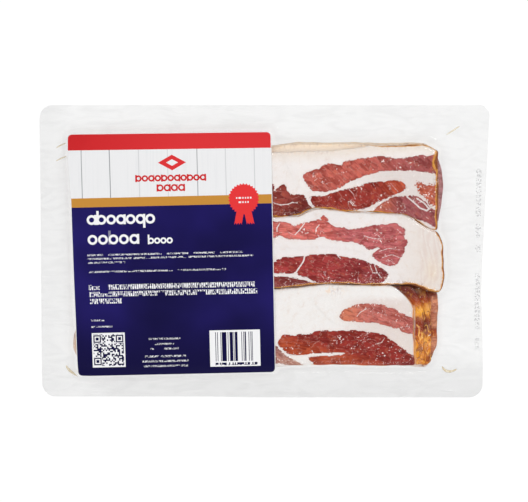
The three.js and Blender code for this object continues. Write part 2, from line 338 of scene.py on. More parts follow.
class Finish:
    """A material or a world in the making. node() adds any node, and the rest are short names."""

    def __init__(self, name, library=bpy.data.materials):
        self.data = library.new(name)
        self.data.use_nodes = True
        self.tree = self.data.node_tree
        self.tree.nodes.clear()

    def node(self, kind, settings=None, values=None):
        """A node of this kind with its settings, then its sockets' values or links: its output."""
        node = self.tree.nodes.new("ShaderNode" + kind)
        for name, setting in (settings or {}).items():
            setattr(node, name, setting)
        for name, value in (values or {}).items():
            if isinstance(value, Value):
                self.tree.links.new(value.socket, node.inputs[name])
            else:
                node.inputs[name].default_value = value
        return Value(self, node.outputs[0]) if node.outputs else None

    def math(self, operation, *values):
        """A Math node on values or links."""
        return self.node("Math", {"operation": operation}, dict(enumerate(values)))

    def blend(self, share, first, second, way="MIX"):
        """The first colour at share 0 and the second, or their product if so said, at 1."""
        settings = {"data_type": "RGBA", "blend_type": way}
        return self.node("Mix", settings, {0: share, 6: first, 7: second}).output(2)

    def coated(self, base, *coats):
        """A colour with others laid over it one by one, each by its share."""
        for share, colour in coats:
            base = self.blend(share, base, colour)
        return base

    def layer(self, share, under, over):
        """Two shaders: the one under at share 0, and the one over it at 1."""
        return self.node("MixShader", None, {0: share, 1: under, 2: over})

    def vector(self, operation, first, second):
        """A Vector Math node on two vectors."""
        return self.node("VectorMath", {"operation": operation}, {0: first, 1: second})

    def place(self):
        """Object coordinates in millimetres."""
        return self.vector("MULTIPLY", self.node("TexCoord").output("Object"), (1 / MM, 1 / MM, 1 / MM))

    def noise(self, vector, scale, detail=2.0, distortion=0.0):
        """Cloudy noise from 0 to 1, of a scale in cells to the millimetre."""
        values = {"Vector": vector, "Scale": scale, "Detail": detail, "Distortion": distortion}
        return self.node("TexNoise", None, values)

    def chance(self, cell, other=None):
        """A random number for each cell, numbered in one direction or in two."""
        if other is None:
            return self.node("TexWhiteNoise", {"noise_dimensions": "1D"}, {"W": cell})
        both = self.node("CombineXYZ", None, {0: cell, 1: other})
        return self.node("TexWhiteNoise", {"noise_dimensions": "2D"}, {"Vector": both})

    def bump(self, height, depth, strength=0.6):
        """Relief of a depth in millimetres."""
        return self.node("Bump", None, {"Strength": strength, "Distance": depth * MM, "Height": height})

    def attribute(self, name, output="Fac"):
        """What the mesh's points carry under this name."""
        return self.node("Attribute", {"attribute_name": name}).output(output)

    def surface(self, shader):
        """The finished material, from a shader or from the values of the standard one."""
        if isinstance(shader, dict):
            shader = self.node("BsdfPrincipled", None, shader)
        self.node("OutputMaterial", None, {"Surface": shader})
        return self.data


def paint(red, green, blue):
    """A colour given in 0 to 255, as linear red, green, blue and alpha."""
    given = np.array([red, green, blue]) / 255
    linear = np.where(given <= 0.04045, given / 12.92, ((given + 0.055) / 1.055) ** 2.4)
    return (*(float(c) for c in linear), 1.0)


GOLD = paint(214, 152, 62)
SMOKED_BROWN = paint(122, 52, 22)
SMOKED_GOLD = paint(238, 176, 78)
PALE_GOLD = paint(246, 200, 112)
RUSSET = paint(130, 48, 16)
CURED_ORANGE = paint(190, 98, 66)
DARK_LEAN = paint(98, 30, 26)
GRISTLE = paint(220, 176, 164)
BLUSH = paint(222, 188, 178)
VEIN_TAN = paint(206, 176, 152)
SPOT_TAN = paint(184, 136, 112)
DULL_FAT = paint(216, 198, 180)
# the white of painted highlights: glints of the film's creases laid into the colour
PAINTED_GLINT_WHITE = paint(248, 243, 240)
COVERED_LEAN = paint(172, 96, 88)
COVERED_FAT = paint(234, 227, 221)
NO_LEAN = -50.0  # the depth inside the lean where there is none
NO_SEAM = -5.0


def meat_finish():
    """Each point carries its depth inside the lean, the colours of the lean and fat there, the
    direction of the grain, and how near it is to a seam or a smoked edge. Noise breaks them up."""
    meat = Finish("smoked_streaky_bacon")
    place = meat.place()
    lean_depth = meat.attribute("lean")
    broken = meat.attribute("broken")
    grain = meat.attribute("grain", "Vector")
    fine = meat.noise(place, 0.9, 3)
    coarse = meat.noise(place, 0.28, 2)
    fibres = meat.noise(meat.vector("MULTIPLY", grain, (0.17, 0.85, 1.0)), 1.0, 3, 0.5)

    along = meat.vector("MULTIPLY", grain, (0.15, 0.30, 0.3))
    bent = meat.vector("ADD", along, coarse * 1.5 + fine * 0.25)
    from_gap = meat.node("TexVoronoi", {"feature": "DISTANCE_TO_EDGE"}, {"Vector": bent, "Scale": 1.0})
    bundle = meat.node("TexVoronoi", {"feature": "F1"}, {"Vector": bent, "Scale": 1.0}).output("Color")
    tone = meat.node("SeparateColor", None, {0: bundle})

    scallop = 0.15 - (1 - from_gap.step(0.0, 0.14)) * 0.6
    ragged = lean_depth + scallop + (fine - 0.5) * (0.3 + 6.0 * broken)
    is_lean = ragged.step(-0.12, 0.12)
    lean = meat.attribute("lean_colour", "Color")
    lean = meat.blend(coarse.step(0.50, 0.72) * 0.30, lean, CURED_ORANGE)
    lightness = (fibres * 0.75 + tone * 0.25).step(0.28, 0.68)
    shade = meat.blend(lightness, (0.60, 0.40, 0.38, 1), (1.16, 1.18, 1.14, 1))
    lean = meat.blend(1.0, lean, shade, "MULTIPLY")
    lean = meat.blend(1 - (1 - ragged.step(0.0, 0.9)) * 0.35, DARK_LEAN, lean)
    marbling = (1 - from_gap.step(0.0, 0.045)) * meat.noise(place, 0.35, 2).step(0.44, 0.56)
    seam = (meat.attribute("seam") + (fine - 0.5) * 0.7).step(-0.12, 0.12)
    fat = meat.attribute("fat_colour", "Color")
    gaps = 1 - from_gap.step(0.01, 0.07)
    lean = meat.coated(lean, (gaps * 0.3, DARK_LEAN), (marbling * 0.42, GRISTLE), (seam * 0.9, fat))

    mottle = meat.attribute("mottle")
    spots = meat.noise(meat.vector("MULTIPLY", place, (0.42, 0.22, 0.5)), 1.0, 4, 1.2)
    veins = 1 - abs(meat.noise(place, 0.13, 3, 1.2) - 0.5).step(0.0, 0.022)
    fat = meat.coated(
        fat,
        (spots.step(0.52, 0.62) * mottle * 0.8, RUSSET),
        ((1 - spots.step(0.38, 0.47)) * mottle * 0.7, SMOKED_GOLD),
        ((1 - spots.step(0.33, 0.40)) * mottle.step(0.6, 0.9) * 0.6, PALE_GOLD),
        (veins * coarse.step(0.40, 0.60) * 0.22, VEIN_TAN),
        (spots.step(0.55, 0.75) * 0.07, SPOT_TAN),
        (lean_depth.step(-2.2, 0.0) * fine * 0.30, BLUSH),
        (coarse.step(0.45, 0.75) * 0.10, DULL_FAT),
    )

    # Painted highlights: white glints of the film's creases, laid into the base colour, thicker where the
    # points' shine is higher.
    glint_curls = 1 - abs(meat.noise(place, 0.22, 1, 1.6) - 0.5).step(0.012, 0.034)
    shine = meat.attribute("shine")
    glint_patches = (meat.noise(place, 0.55, 1) + 0.18 * shine).step(0.68, 0.72)
    glint_beads = (meat.noise(place, 0.9, 1) + 0.12 * shine).step(0.82, 0.86)
    painted_glints = (glint_curls * glint_patches | glint_beads) * 0.9
    drift = meat.noise(place, 0.09, 1)
    rim = meat.attribute("rim") + (fine - 0.5) * 0.7 + (coarse - 0.5) * 0.8 + (drift - 0.5) * 1.2
    rim = rim * meat.attribute("rim").step(0.02, 0.3)
    gold, brown = rim.step(0.45, 0.75) * 0.9, rim.step(0.80, 1.05) * 0.9
    body = meat.coated(fat, (is_lean, lean), (gold, GOLD), (brown, SMOKED_BROWN), (painted_glints, PAINTED_GLINT_WHITE))

    relief = meat.bump(fibres + fine * 0.4 + from_gap.step(0.0, 0.2) * 0.5, 0.18)
    return meat.surface({
        "Base Color": body, "Roughness": 0.3 + 0.1 * fine, "Normal": relief, "Specular IOR Level": 0.15,
    })


bacon_finish = meat_finish()


def smooth_outline(points, steps=8):
    """A closed curve through the points, each stretch the cubic that leaves and arrives along
    half the chord between its neighbours (Catmull-Rom)."""
    here = np.array(points, float)
    before, after, second = np.roll(here, 1, 0), np.roll(here, -1, 0), np.roll(here, -2, 0)
    t = np.linspace(0, 1, steps, endpoint=False)[:, None, None]
    curve = 2 * here + t * (after - before)
    curve = curve + t**2 * (2 * before - 5 * here + 4 * after - second)
    curve = curve + t**3 * (3 * here - before - 3 * after + second)
    return 0.5 * curve.transpose(1, 0, 2).reshape(-1, 2)


def from_stretch(x, y, start, end):
    """The distance from the straight stretch between two points."""
    along = np.array(end) - np.array(start)
    share = ((x - start[0]) * along[0] + (y - start[1]) * along[1]) / max(along @ along, 1e-9)
    share = np.clip(share, 0, 1)
    return np.hypot(x - start[0] - share * along[0], y - start[1] - share * along[1])


def depth_inside(x, y, outline):
    """The distance from a closed outline, positive inside, where a ray crosses it an odd number
    of times."""
    nearest = np.full(x.shape, np.inf)
    inside = np.zeros(x.shape, bool)
    for start, end in zip(outline, np.roll(outline, -1, 0)):
        nearest = np.minimum(nearest, from_stretch(x, y, start, end))
        rise = end[1] - start[1]
        if rise:
            crossing = start[0] + (y - start[1]) / rise * (end[0] - start[0])
            inside ^= ((start[1] > y) != (end[1] > y)) & (x < crossing)
    return np.where(inside, nearest, -nearest)


def tinted(colour, other, share):
    """A colour with a share of it, which may differ from point to point, taken to another."""
    share = share[..., None]
    return np.array(colour) * (1 - share) + np.array(other) * share


def lean_patch(outline, colour, far_colour=None, fade=((0, 0), (1, 0)), grain=0, broken=0):
    """A piece of lean: its outline, its colour, which may fade to another between two points, the
    direction of its grain in degrees, and how broken up with fat it is."""
    return {
        "outline": outline, "colour": colour, "far": far_colour or colour,
        "fade": fade, "grain": grain, "broken": broken,
    }


def marking(x, y, patches, seams, fat_colour, shine_spots):
    """The attributes of a rasher's points. Each point takes the colour and the grain of the patch
    that it is deepest inside, or nearest to. Painted glints gather by exp(-(d/r)²) round each spot."""
    lean = np.full(x.shape, NO_LEAN)
    colour = np.zeros(x.shape + (4,))
    grain = np.zeros(x.shape + (3,))
    broken = np.zeros(x.shape)
    for index, patch in enumerate(patches):
        depth = depth_inside(x, y, smooth_outline(patch["outline"]))
        chosen = depth > lean
        (x0, y0), (x1, y1) = patch["fade"]
        reach = (x1 - x0) ** 2 + (y1 - y0) ** 2
        share = ease(((x - x0) * (x1 - x0) + (y - y0) * (y1 - y0)) / reach, 0, 1)
        tint = tinted(patch["colour"], patch["far"], share)
        turn = np.radians(patch["grain"])
        turned = np.stack([
            x * np.cos(turn) + y * np.sin(turn), y * np.cos(turn) - x * np.sin(turn), 0 * x + 7 * index,
        ], -1)
        colour = np.where(chosen[..., None], tint, colour)
        grain = np.where(chosen[..., None], turned, grain)
        broken = np.where(chosen, patch["broken"], broken)
        lean = np.maximum(lean, depth)
    seam = np.full(x.shape, NO_SEAM)
    for half_width, *line in seams:
        for start, end in zip(line, line[1:]):
            seam = np.maximum(seam, half_width - from_stretch(x, y, start, end))
    shine = np.zeros(x.shape)
    for spot_x, spot_y, radius in shine_spots:
        shine = np.maximum(shine, np.exp(-((x - spot_x) ** 2 + (y - spot_y) ** 2) / radius**2))
    return {
        "lean": lean, "lean_colour": colour, "grain": grain, "broken": broken, "seam": seam,
        "fat_colour": fat_colour, "mottle": 0 * x, "rim": 0 * x, "shine": shine,
    }


def streaks(x, y, rasher):
    """The attributes of a covered rasher: two wavy streaks of lean along it, each a band about a
    centre line that swings slowly."""
    low, high = rasher.low(x), rasher.high(x)
    lean = np.full(x.shape, NO_LEAN)
    for share, half, swing in ((0.3, 5.5, 21), (0.72, 6.5, 27)):
        centre = low + (high - low) * share + 2.4 * np.sin(x / swing + rasher.wobble + 5 * share)
        width = half + 1.8 * np.sin(x / 13 + 3 * rasher.wobble)
        lean = np.maximum(lean, width - np.abs(y - centre))
    solid = np.ones(x.shape + (1,))
    return {
        "lean": lean, "lean_colour": solid * COVERED_LEAN, "broken": 0 * x, "seam": 0 * x + NO_SEAM,
        "grain": np.stack([x, y, 0 * x + rasher.layer], -1), "fat_colour": solid * COVERED_FAT,
        "mottle": 0 * x, "rim": 0 * x, "shine": 0 * x,
    }


def near_side(distance, width, strength):
    """strength at a side, falling evenly to nothing a width in from it."""
    return strength * np.clip(1 - distance / width, 0, 1)


FINE_PITCH = 0.42
COVERED_PITCH = 2.2
RASHER_CORNER = 1.8
LEAN_DENT = 0.06
laid_rashers = []


def add_rasher(name, rasher, mark, pitch=FINE_PITCH):
    """Lays a grid over the rasher, from rim to rim and end to end, with its corners rounded. A top
    rasher's is fine where it shows. The lean stands a little lower than the fat."""
    laid_rashers.append(rasher)
    width = rasher.stack.width
    fine_from = LABEL_EDGE - BACON_LEFT if pitch == FINE_PITCH else 20
    along, across = stations(STACK_LENGTH, 2.0, pitch, fine_from), stations(width, pitch, pitch, 10)
    u, v, rim = rounded_plan(STACK_LENGTH, width, along, across, [RASHER_CORNER] * 4)
    share = v / width + 0.5
    left, right = rasher.left(share), rasher.right(share)
    x = left + (right - left) * (u / STACK_LENGTH + 0.5)
    low, high = rasher.low(x), rasher.high(x)
    y = low + (high - low) * share
    above, below = rasher.faces(x, y, rim)
    marks = mark(x, y)
    dent = LEAN_DENT * ease(marks["lean"], -0.5, 0.5) * ease(rim, 0, 2)
    points, faces = closed_grid(x, y, above - dent, below)
    return add_piece(name, points, faces, bacon_finish, marks)


def add_covered_rashers(stack, name, layers, mark_ends):
    """The four rashers under the top one, each with its insets: low, high, left and right."""
    for layer, insets in enumerate(layers):
        rasher = Rasher(stack, layer, insets)

        def mark(x, y, rasher=rasher, layer=layer):
            marks = streaks(x, y, rasher)
            mark_ends(marks, x, y, rasher, layer)
            return marks

        add_rasher(f"{name}_{layer + 1}", rasher, mark, COVERED_PITCH)


# ---- The upper stack --------------------------------------------------------------------------
# Its long upper side is the skin side of the slab, tan and gold with smoke. The top rasher lies
# back from it, and a purple, leaner rasher shows at the right-hand end.
SKIN_TAN = paint(241, 222, 200)
PURPLE_LEAN = paint(186, 126, 132)
UPPER_FAT = paint(233, 228, 226)
UPPER_WARM_FAT = paint(231, 221, 212)
UPPER_DULL_FAT = paint(216, 207, 204)


def mark_upper_ends(marks, x, y, rasher, layer):
    """A tan skin along the high side, and a purple lean end to the two lowest rashers."""
    low, high, _, right = rasher.sides(x, y)
    skin = 1 - ease(high, 1, 7)
    marks["fat_colour"] = tinted(marks["fat_colour"], SKIN_TAN, skin)
    marks["lean"] = marks["lean"] - 20 * skin
    marks["mottle"] = (1 - ease(high, 0.4, 1.7)) * (0.3 + 0.35 * ease(x, 50, 95))
    marks["rim"] = np.maximum(near_side(high, 2.0, 0.05 + 0.65 * ease(x, 70, 100)), near_side(low, 2.0, 0.8))
    if layer < 2:
        purple = (1 - ease(right, 8, 10)) * ease(y, 18, 26) * (1 - ease(y, 62, 68))
        marks["lean"] = marks["lean"] * (1 - purple) + 4 * purple
        marks["lean_colour"] = tinted(marks["lean_colour"], PURPLE_LEAN, purple)
    else:
        marks["rim"] = np.maximum(marks["rim"], near_side(right, 2.5, 1.1))


upper_insets = [(2, 0.0, 1.0, 0.3), (1, 0.2, 0.2, -0.8), (0.3, 0.5, 0.8, 2.0), (0, 1.0, 2.0, 2.4)]
add_covered_rashers(upper_stack, "upper_row_rasher", upper_insets, mark_upper_ends)

UPPER_ROUND_LEAN = lean_patch(
    [(25.3, 47.8), (26.3, 51), (30.7, 52.7), (35.2, 53.9), (38.1, 55.9), (42.1, 57.1), (49, 55.9),
     (51.2, 58), (57.1, 59.6), (65.2, 60.7), (73.3, 61.6), (79.4, 61.4), (86.2, 60.2), (94, 61.4),
     (101.6, 62.5), (105.3, 61.8), (113, 62.6), (113, 50.8), (103.8, 51.5), (95.7, 52.3), (77.8, 52.3),
     (67.2, 49.9), (61.3, 47.6), (55.1, 45.6), (49.1, 41.7), (41, 39.3), (36.9, 38.9), (31.2, 39.7),
     (28, 43.4)],
    paint(192, 100, 90), paint(162, 86, 86), fade=((60, 50), (98, 56)), grain=-42,
)
UPPER_LONG_LEAN = lean_patch(
    [(29.6, 34.1), (30.4, 36), (39, 36.8), (43, 38.5), (53.2, 40.9), (61.3, 43), (66.9, 44.8),
     (72.2, 45.4), (77.9, 45.6), (81.1, 46.4), (87.2, 45.8), (90.9, 41.7), (85.2, 37.6), (75.5, 33.6),
     (66.6, 29.1), (61.3, 27.5), (55.2, 26.5), (49.1, 26.8), (40.2, 27.9), (32.5, 29.1)],
    paint(150, 52, 44), paint(194, 90, 64), fade=((70, 36), (90, 42)), grain=-48,
)
# Dark lean, and darker still towards the middle stack's lapping edge as painted shade.
UPPER_DARK_SHADED_LEAN = lean_patch(
    [(-8, 43), (5.6, 44.1), (6.8, 40), (8.8, 41.3), (10.9, 42.9), (13.7, 43.7), (15.4, 39.9),
     (17.4, 37.6), (24.7, 37.2), (26.8, 35.6), (28.6, 32.5), (31.2, 28.7), (26.8, 24.8), (22.3, 23.2),
     (16.6, 22.3), (-8, 22)],
    paint(148, 66, 60), paint(108, 38, 32), fade=((10, 34), (20, 24)), grain=-12,
)
UPPER_LOW_LEAN = lean_patch(
    [(70.4, 26.1), (73.1, 29.9), (80.4, 34.8), (84.5, 36), (96.7, 36.4), (102.9, 33.1), (105.3, 29.9),
     (108.9, 27.4), (113, 26), (113, 15), (103.3, 19.7), (94, 22.6), (79.8, 23.9)],
    paint(180, 98, 80), paint(156, 84, 88), fade=((76, 28), (90, 30)), grain=-50, broken=0.15,
)
UPPER_BROKEN_LEAN = lean_patch(
    [(96.9, 45.3), (104.9, 43.4), (113, 42.7), (113, 30.6), (106.9, 30), (104, 34.7), (99.8, 37.9)],
    paint(186, 96, 74), grain=-30, broken=1.0,
)
UPPER_SEAMS = [
    (0.35, (28.8, 36.5), (28, 34), (28.8, 31.6), (31.3, 29.1)),
    (0.3, (30.2, 35.8), (29.6, 33.5), (30.8, 31.1), (32.9, 28.7)),
    (0.28, (6.4, 32), (10.9, 30.7), (15.7, 31.1), (18.2, 32.3), (21.5, 32)),
    (0.5, (91.5, 36), (95.9, 32.3), (99.9, 28.7), (104.1, 27), (105.6, 28.3), (102.4, 31.9), (97.9, 34.8)),
    (0.2, (54, 41), (57, 38), (58.5, 34.5)),
    (0.18, (81, 44.5), (84, 41), (86, 39)),
]
# Where the painted glints gather: the place and radius of each spot.
UPPER_SHINE = [
    (36, 46, 4), (32, 50, 3), (77, 57, 5), (86, 54, 4), (92, 59, 4), (102, 60, 3), (62, 43, 3), (71, 44, 3),
    (80, 44, 3), (56, 32, 4), (75, 32, 4), (88, 28, 4), (102, 43, 5), (106, 40, 4), (98, 34, 5), (105, 28, 4),
    (93, 40, 3),
]
top_inset = eased_curve(
    [(-122, 2.5), (-20, 3.5), (5, 4.2), (24, 6), (42, 5), (56, 3.8), (69, 1.9), (93, 1.6), (103, 1)]
)


TOP_UPPER_END = 111.6


def straight_end(share):
    """How far in from the stack's end the top rasher's straight end is."""
    return upper_stack.right(share) - TOP_UPPER_END


top_upper = Rasher(upper_stack, LAYERS - 1, (0, top_inset, 4.0, straight_end))


def mark_top_upper(x, y):
    """Warmer fat at the high side and duller fat at the right, with a gold rim that grows."""
    low, high, _, right = top_upper.sides(x, y)
    fat = tinted(UPPER_FAT, UPPER_WARM_FAT, 1 - ease(high, 0, 9))
    fat = tinted(fat, UPPER_DULL_FAT, 0.75 * ease(x, 45, 85) * (1 - ease(y, 50, 58)))
    patches = [UPPER_ROUND_LEAN, UPPER_LONG_LEAN, UPPER_DARK_SHADED_LEAN, UPPER_LOW_LEAN, UPPER_BROKEN_LEAN]
    marks = marking(x, y, patches, UPPER_SEAMS, fat, UPPER_SHINE)
    gold_line = near_side(high, 1.6, 0.25 + 0.85 * ease(x, 55, 85))
    upper_end = ease(y, 46, 54)
    end_line = near_side(right, 3.2 + 2.0 * upper_end, 1.35 - 0.1 * upper_end)
    marks["rim"] = np.maximum.reduce([gold_line, end_line, near_side(low, 2.2, 0.9)])
    marks["mottle"] = 0.2 * (1 - ease(high, 0, 3)) + 0.6 * (1 - ease(right, 1, 4))
    return marks


piece = add_rasher("upper_row_rasher_5", top_upper, mark_top_upper)
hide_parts("rashers_upper_row")


# ---- The lower stack --------------------------------------------------------------------------
# Its right-hand end is cut askew, so that the smoked ends of the lower rashers step out one
# after the other, brown, orange and gold.
SMOKE_ALONG_Y = np.array([-75, -70, -63, -57, -53, -48, -44, -40, -36, -32, -28, -24], float)
# The two darkest, at the top under the middle stack's overhang, are painted shade as well as smoke.
SMOKE_AND_SHADE_COLOURS = np.array([
    paint(176, 76, 24), paint(206, 112, 28), paint(216, 126, 34), paint(212, 122, 32), paint(172, 72, 22),
    paint(128, 40, 18), paint(156, 58, 16), paint(222, 138, 40), paint(214, 126, 36), paint(166, 64, 18),
    paint(122, 38, 20), paint(104, 28, 16),
])


def smoke_and_shade_colour(y):
    """The colour of the smoked end, with painted shade at its top, taken between the colours given along y.
    """
    return np.stack([np.interp(y, SMOKE_ALONG_Y, SMOKE_AND_SHADE_COLOURS[:, i]) for i in range(4)], -1)


# Spots of another brown: their places, their half widths and heights, and their colours.
SMOKE_SPOTS = [
    (104.8, -47.5, 2.6, 4.6, paint(92, 22, 12)), (108.4, -69.2, 2.8, 3.4, paint(112, 28, 18)),
    (100.5, -38.0, 3.4, 2.4, paint(238, 178, 62)), (107.0, -37.0, 3.0, 3.4, paint(232, 168, 84)),
    (99.0, -64.5, 3.6, 5.0, paint(234, 164, 48)), (105.2, -57.5, 2.4, 3.4, paint(236, 168, 72)),
    (100.0, -50.5, 2.6, 4.0, paint(168, 66, 18)), (103.0, -71.5, 3.0, 2.2, paint(214, 130, 36)),
]
STRIP_PINK = paint(208, 142, 108)
FLAP_PINK = paint(238, 216, 206)
END_TAN = paint(232, 208, 190)
LOWER_FAT = paint(233, 230, 228)
LOWER_DULL_FAT = paint(220, 208, 203)


def smoked_fat(fat, x, y, smoked):
    """The fat's colour with the smoked end's over it, and each spot by exp(-(d/r)²)."""
    fat = tinted(fat, smoke_and_shade_colour(y), smoked)
    for spot_x, spot_y, half_x, half_y, colour in SMOKE_SPOTS:
        near = np.exp(-((x - spot_x) / half_x) ** 2 - ((y - spot_y) / half_y) ** 2)
        fat = tinted(fat, colour, smoked * near)
    return fat


def mark_lower_ends(marks, x, y, rasher, layer):
    """A smoked right-hand end and a tan left-hand one. The two lowest rashers have a strip of pink
    in the smoked end, and the lowest has a pale flap at the low side."""
    low, high, left, right = rasher.sides(x, y)
    smoked = 1 - ease(right - 9 * ease(y, -37, -27), 5.5, 7.5)
    blunt = 1 - ease(left, 4, 8)
    marks["fat_colour"] = tinted(smoked_fat(marks["fat_colour"], x, y, smoked), END_TAN, blunt)
    marks["lean"] = marks["lean"] - 30 * smoked - 60 * blunt
    marks["mottle"] = smoked * (0.95 - 0.6 * ease(y, -37, -31)) + 0.3 * blunt
    if layer < 2:
        strip = np.maximum(
            ease(y, -51, -48) * (1 - ease(y, -30, -27)), ease(y, -67, -64) * (1 - ease(y, -57, -54))
        )
        pink = (1 - ease(right, 3.2, 4.2)) * strip
        marks["lean"] = np.maximum(marks["lean"], 6 * pink - 3)
        marks["lean_colour"] = 0 * marks["lean_colour"] + STRIP_PINK
    if layer == 0:
        pale = (1 - ease(low, 2.2, 3.0)) * ease(x, 94, 97) * (1 - ease(x, 107, 109))
        marks["fat_colour"] = tinted(marks["fat_colour"], FLAP_PINK, pale)
    high_line = near_side(high, 2.0, 0.9 * (1 - ease(x, 76, 84)))
    marks["rim"] = np.maximum(near_side(low, 1.6, 0.4 - 0.4 * ease(x, 88, 94)), high_line)


def stepped_end(reach, lean_back):
    """How far in from the stack's end a rasher stops: at a reach along it, and leaning back by the
    square of how near the middle stack the place is."""

    def inset(share):
        back = np.clip((share - 0.68) / 0.32, 0, 1) ** 2
        return lower_stack.right(share) - (reach - 1.5 * share - lean_back * back)

    return inset


flap = eased_curve([(92, 0.3), (98, -1.7), (106, -1.7), (109.5, 0.3)])
lower_insets = [
    (flap, 1, 0.8, 0.0), (0.6, 0.5, -0.4, 0.4),
    (0.4, 0.1, 0.4, stepped_end(109.3, 2)), (1.0, 0, 1.8, stepped_end(104.5, 7)),
]
add_covered_rashers(lower_stack, "lower_row_rasher", lower_insets, mark_lower_ends)

LOWER_PALE_LEAN = lean_patch(
    [(49.1, -42.3), (49.5, -39.7), (51.5, -36.9), (54.8, -35.2), (60, -33.3), (66.8, -32.7),
     (73.5, -33.1), (77.2, -33.6), (80.3, -35.2), (84.8, -36.1), (87, -38.4), (90.7, -39.7),
     (93.9, -41.5), (101, -42.4), (101, -52), (91.6, -52.2), (88.5, -50.6), (87.1, -48.8),
     (83.6, -48.8), (80.4, -47.4), (75, -46.1), (69.1, -45.2), (62.3, -44.7), (52.4, -43.9)],
    paint(200, 120, 94), paint(194, 112, 104), fade=((52, -40), (68, -41)), grain=-25,
)
LOWER_DARK_LEAN = lean_patch(
    [(9.1, -58.8), (10.1, -56.3), (12.2, -53.4), (14.3, -53), (20, -53.4), (23.3, -52.6), (29, -52.6),
     (33.1, -50.9), (40.5, -50.1), (44.6, -50.5), (53.6, -50.1), (60.1, -50), (66.9, -51.1),
     (73.6, -52), (78.1, -53.3), (80.9, -55.6), (84.6, -58), (88.2, -60.7), (91.8, -63), (94.6, -65.7),
     (101, -67.4), (101, -78), (62.2, -78), (37.3, -74.5), (31.1, -70.6), (29, -67.8), (35.2, -66.9),
     (47.5, -66.3), (52.1, -64.7), (43.5, -65), (33.1, -65), (29, -65.8), (21.7, -66.7), (16.7, -65.8),
     (13.4, -63.3), (9.8, -60)],
    paint(144, 44, 38), paint(178, 78, 46), fade=((46, -59), (43.3, -68.5)), grain=-8,
)
LOWER_LEFT_LEAN = lean_patch(
    [(-6, -59.2), (7.7, -60.3), (9.4, -61.8), (13, -65), (16.4, -67.6), (23.3, -71.2), (26, -73.5),
     (20, -73.8), (7.7, -71.5), (-6, -71.5)],
    paint(156, 106, 102), paint(212, 176, 156), fade=((4, -64), (24, -72)), grain=-20, broken=0.2,
)
LOWER_SEAMS = [
    (0.35, (49.3, -66.2), (51.5, -65.2)),
    (0.2, (78, -55), (76, -58), (72, -59)),
    (0.2, (66, -36), (62, -38.5), (60, -41)),
]
# Where the painted glints gather: the place and radius of each spot.
LOWER_SHINE = [
    (68, -36, 4), (75, -39, 4), (72, -34, 3), (48, -56, 3), (65, -56, 5), (59, -62, 4), (83, -60, 4),
    (87, -64, 4), (75, -68, 4), (93, -67, 4), (87, -42, 4), (92, -48, 4), (18, -67, 5), (12, -68, 4),
    (80, -23, 4), (87, -30, 4), (76, -30, 3), (93, -36, 4), (8, -60, 2), (15, -65, 2), (20, -68, 2),
]
top_lower = Rasher(lower_stack, LAYERS - 1, (1.0, 0, 2.5, stepped_end(98, 14)))


def mark_top_lower(x, y):
    """Duller fat at the right, a thin smoked end, and a tan mark at the middle stack's side."""
    low, high, _, right = top_lower.sides(x, y)
    fat = tinted(LOWER_FAT, LOWER_DULL_FAT, 0.8 * ease(x, 40, 75) * (1 - ease(y, -32, -27)))
    patches = [LOWER_PALE_LEAN, LOWER_DARK_LEAN, LOWER_LEFT_LEAN]
    marks = marking(x, y, patches, LOWER_SEAMS, fat, LOWER_SHINE)
    smoked = 1 - ease(right, 0.2, 1.6)
    marks["fat_colour"] = smoked_fat(fat, x, y, smoked)
    tan = 0.4 * np.exp(-((x - 44) / 8) ** 2 - ((y + 24) / 2.5) ** 2) + 0.2 * (1 - ease(high, 0.3, 2.5))
    marks["mottle"] = np.maximum(smoked * 0.8, tan)
    marks["lean"] = marks["lean"] - 20 * (1 - ease(right, 0.2, 0.8))
    marks["rim"] = np.maximum.reduce([
        near_side(high, 1.2, 0.6), near_side(low, 0.9, 0.6), near_side(right, 1.0, 0.6),
    ])
    return marks


piece = add_rasher("lower_row_rasher_5", top_lower, mark_top_lower)
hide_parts("rashers_lower_row")


# ---- The middle stack -------------------------------------------------------------------------
# The last to be laid, so that its top rasher laps over both neighbours. That one has a broad white
# end of fat, with the gold of the smoke along its rim and painted shade of wrinkles near its end.
MIDDLE_FAT = paint(231, 226, 225)
MIDDLE_FAR_FAT = paint(226, 218, 213)
CORNER_TAN = paint(230, 214, 192)
# the painted shade of the wrinkles near the middle rasher's end
WRINKLE_SHADE_TAN = paint(214, 194, 186)


def mark_middle_ends(marks, x, y, rasher, layer):
    """Browned sides, and an end with no lean."""
    low, high, _, right = rasher.sides(x, y)
    browned = [near_side(right, 2.2, 1.0), near_side(low, 2.0, 1.0), near_side(high, 2.0, 0.9)]
    marks["rim"] = np.maximum.reduce(browned)
    marks["lean"] = marks["lean"] - 30 * (1 - ease(right, 20, 26))


middle_insets = [(1, 1, 0.2, 1.0), (0.6, 0.6, 1.4, 0.2), (0.2, 0.2, 0.6, -0.3), (0, 0, 1.8, 0.2)]
add_covered_rashers(middle_stack, "middle_row_rasher", middle_insets, mark_middle_ends)

MIDDLE_PALE_LEAN = lean_patch(
    [(-8, 20), (10.5, 20), (16.6, 18.8), (20.7, 17.2), (22.2, 18.4), (28.8, 19.8), (34.9, 21.4),
     (39.8, 20.5), (43, 18.8), (46.2, 16.4), (51.2, 16.4), (56.1, 15.2), (63.3, 16.4), (68.6, 17.6),
     (79.6, 18.6), (84.4, 19), (87.7, 17.2), (90.6, 14.3), (89.8, 10.2), (91.9, 8), (91.6, 5.4),
     (89.9, 3.7), (90.3, 1.3), (88.2, -2.6), (85.5, -6.9), (81.5, -8.4), (76.5, -6.9), (71.9, -4.2),
     (69.5, -1.3), (74.4, 3.2), (67.4, 2.1), (63.5, 4.5), (57.8, 6.7), (45.1, 7.8), (37.8, 10),
     (31.3, 8.6), (16.6, 8.6), (13.7, 9.3), (10.9, 10.9), (5.6, 9.4), (-8, 9)],
    paint(212, 116, 110), paint(190, 104, 108), fade=((38, 14), (56, 12)), grain=-6,
)
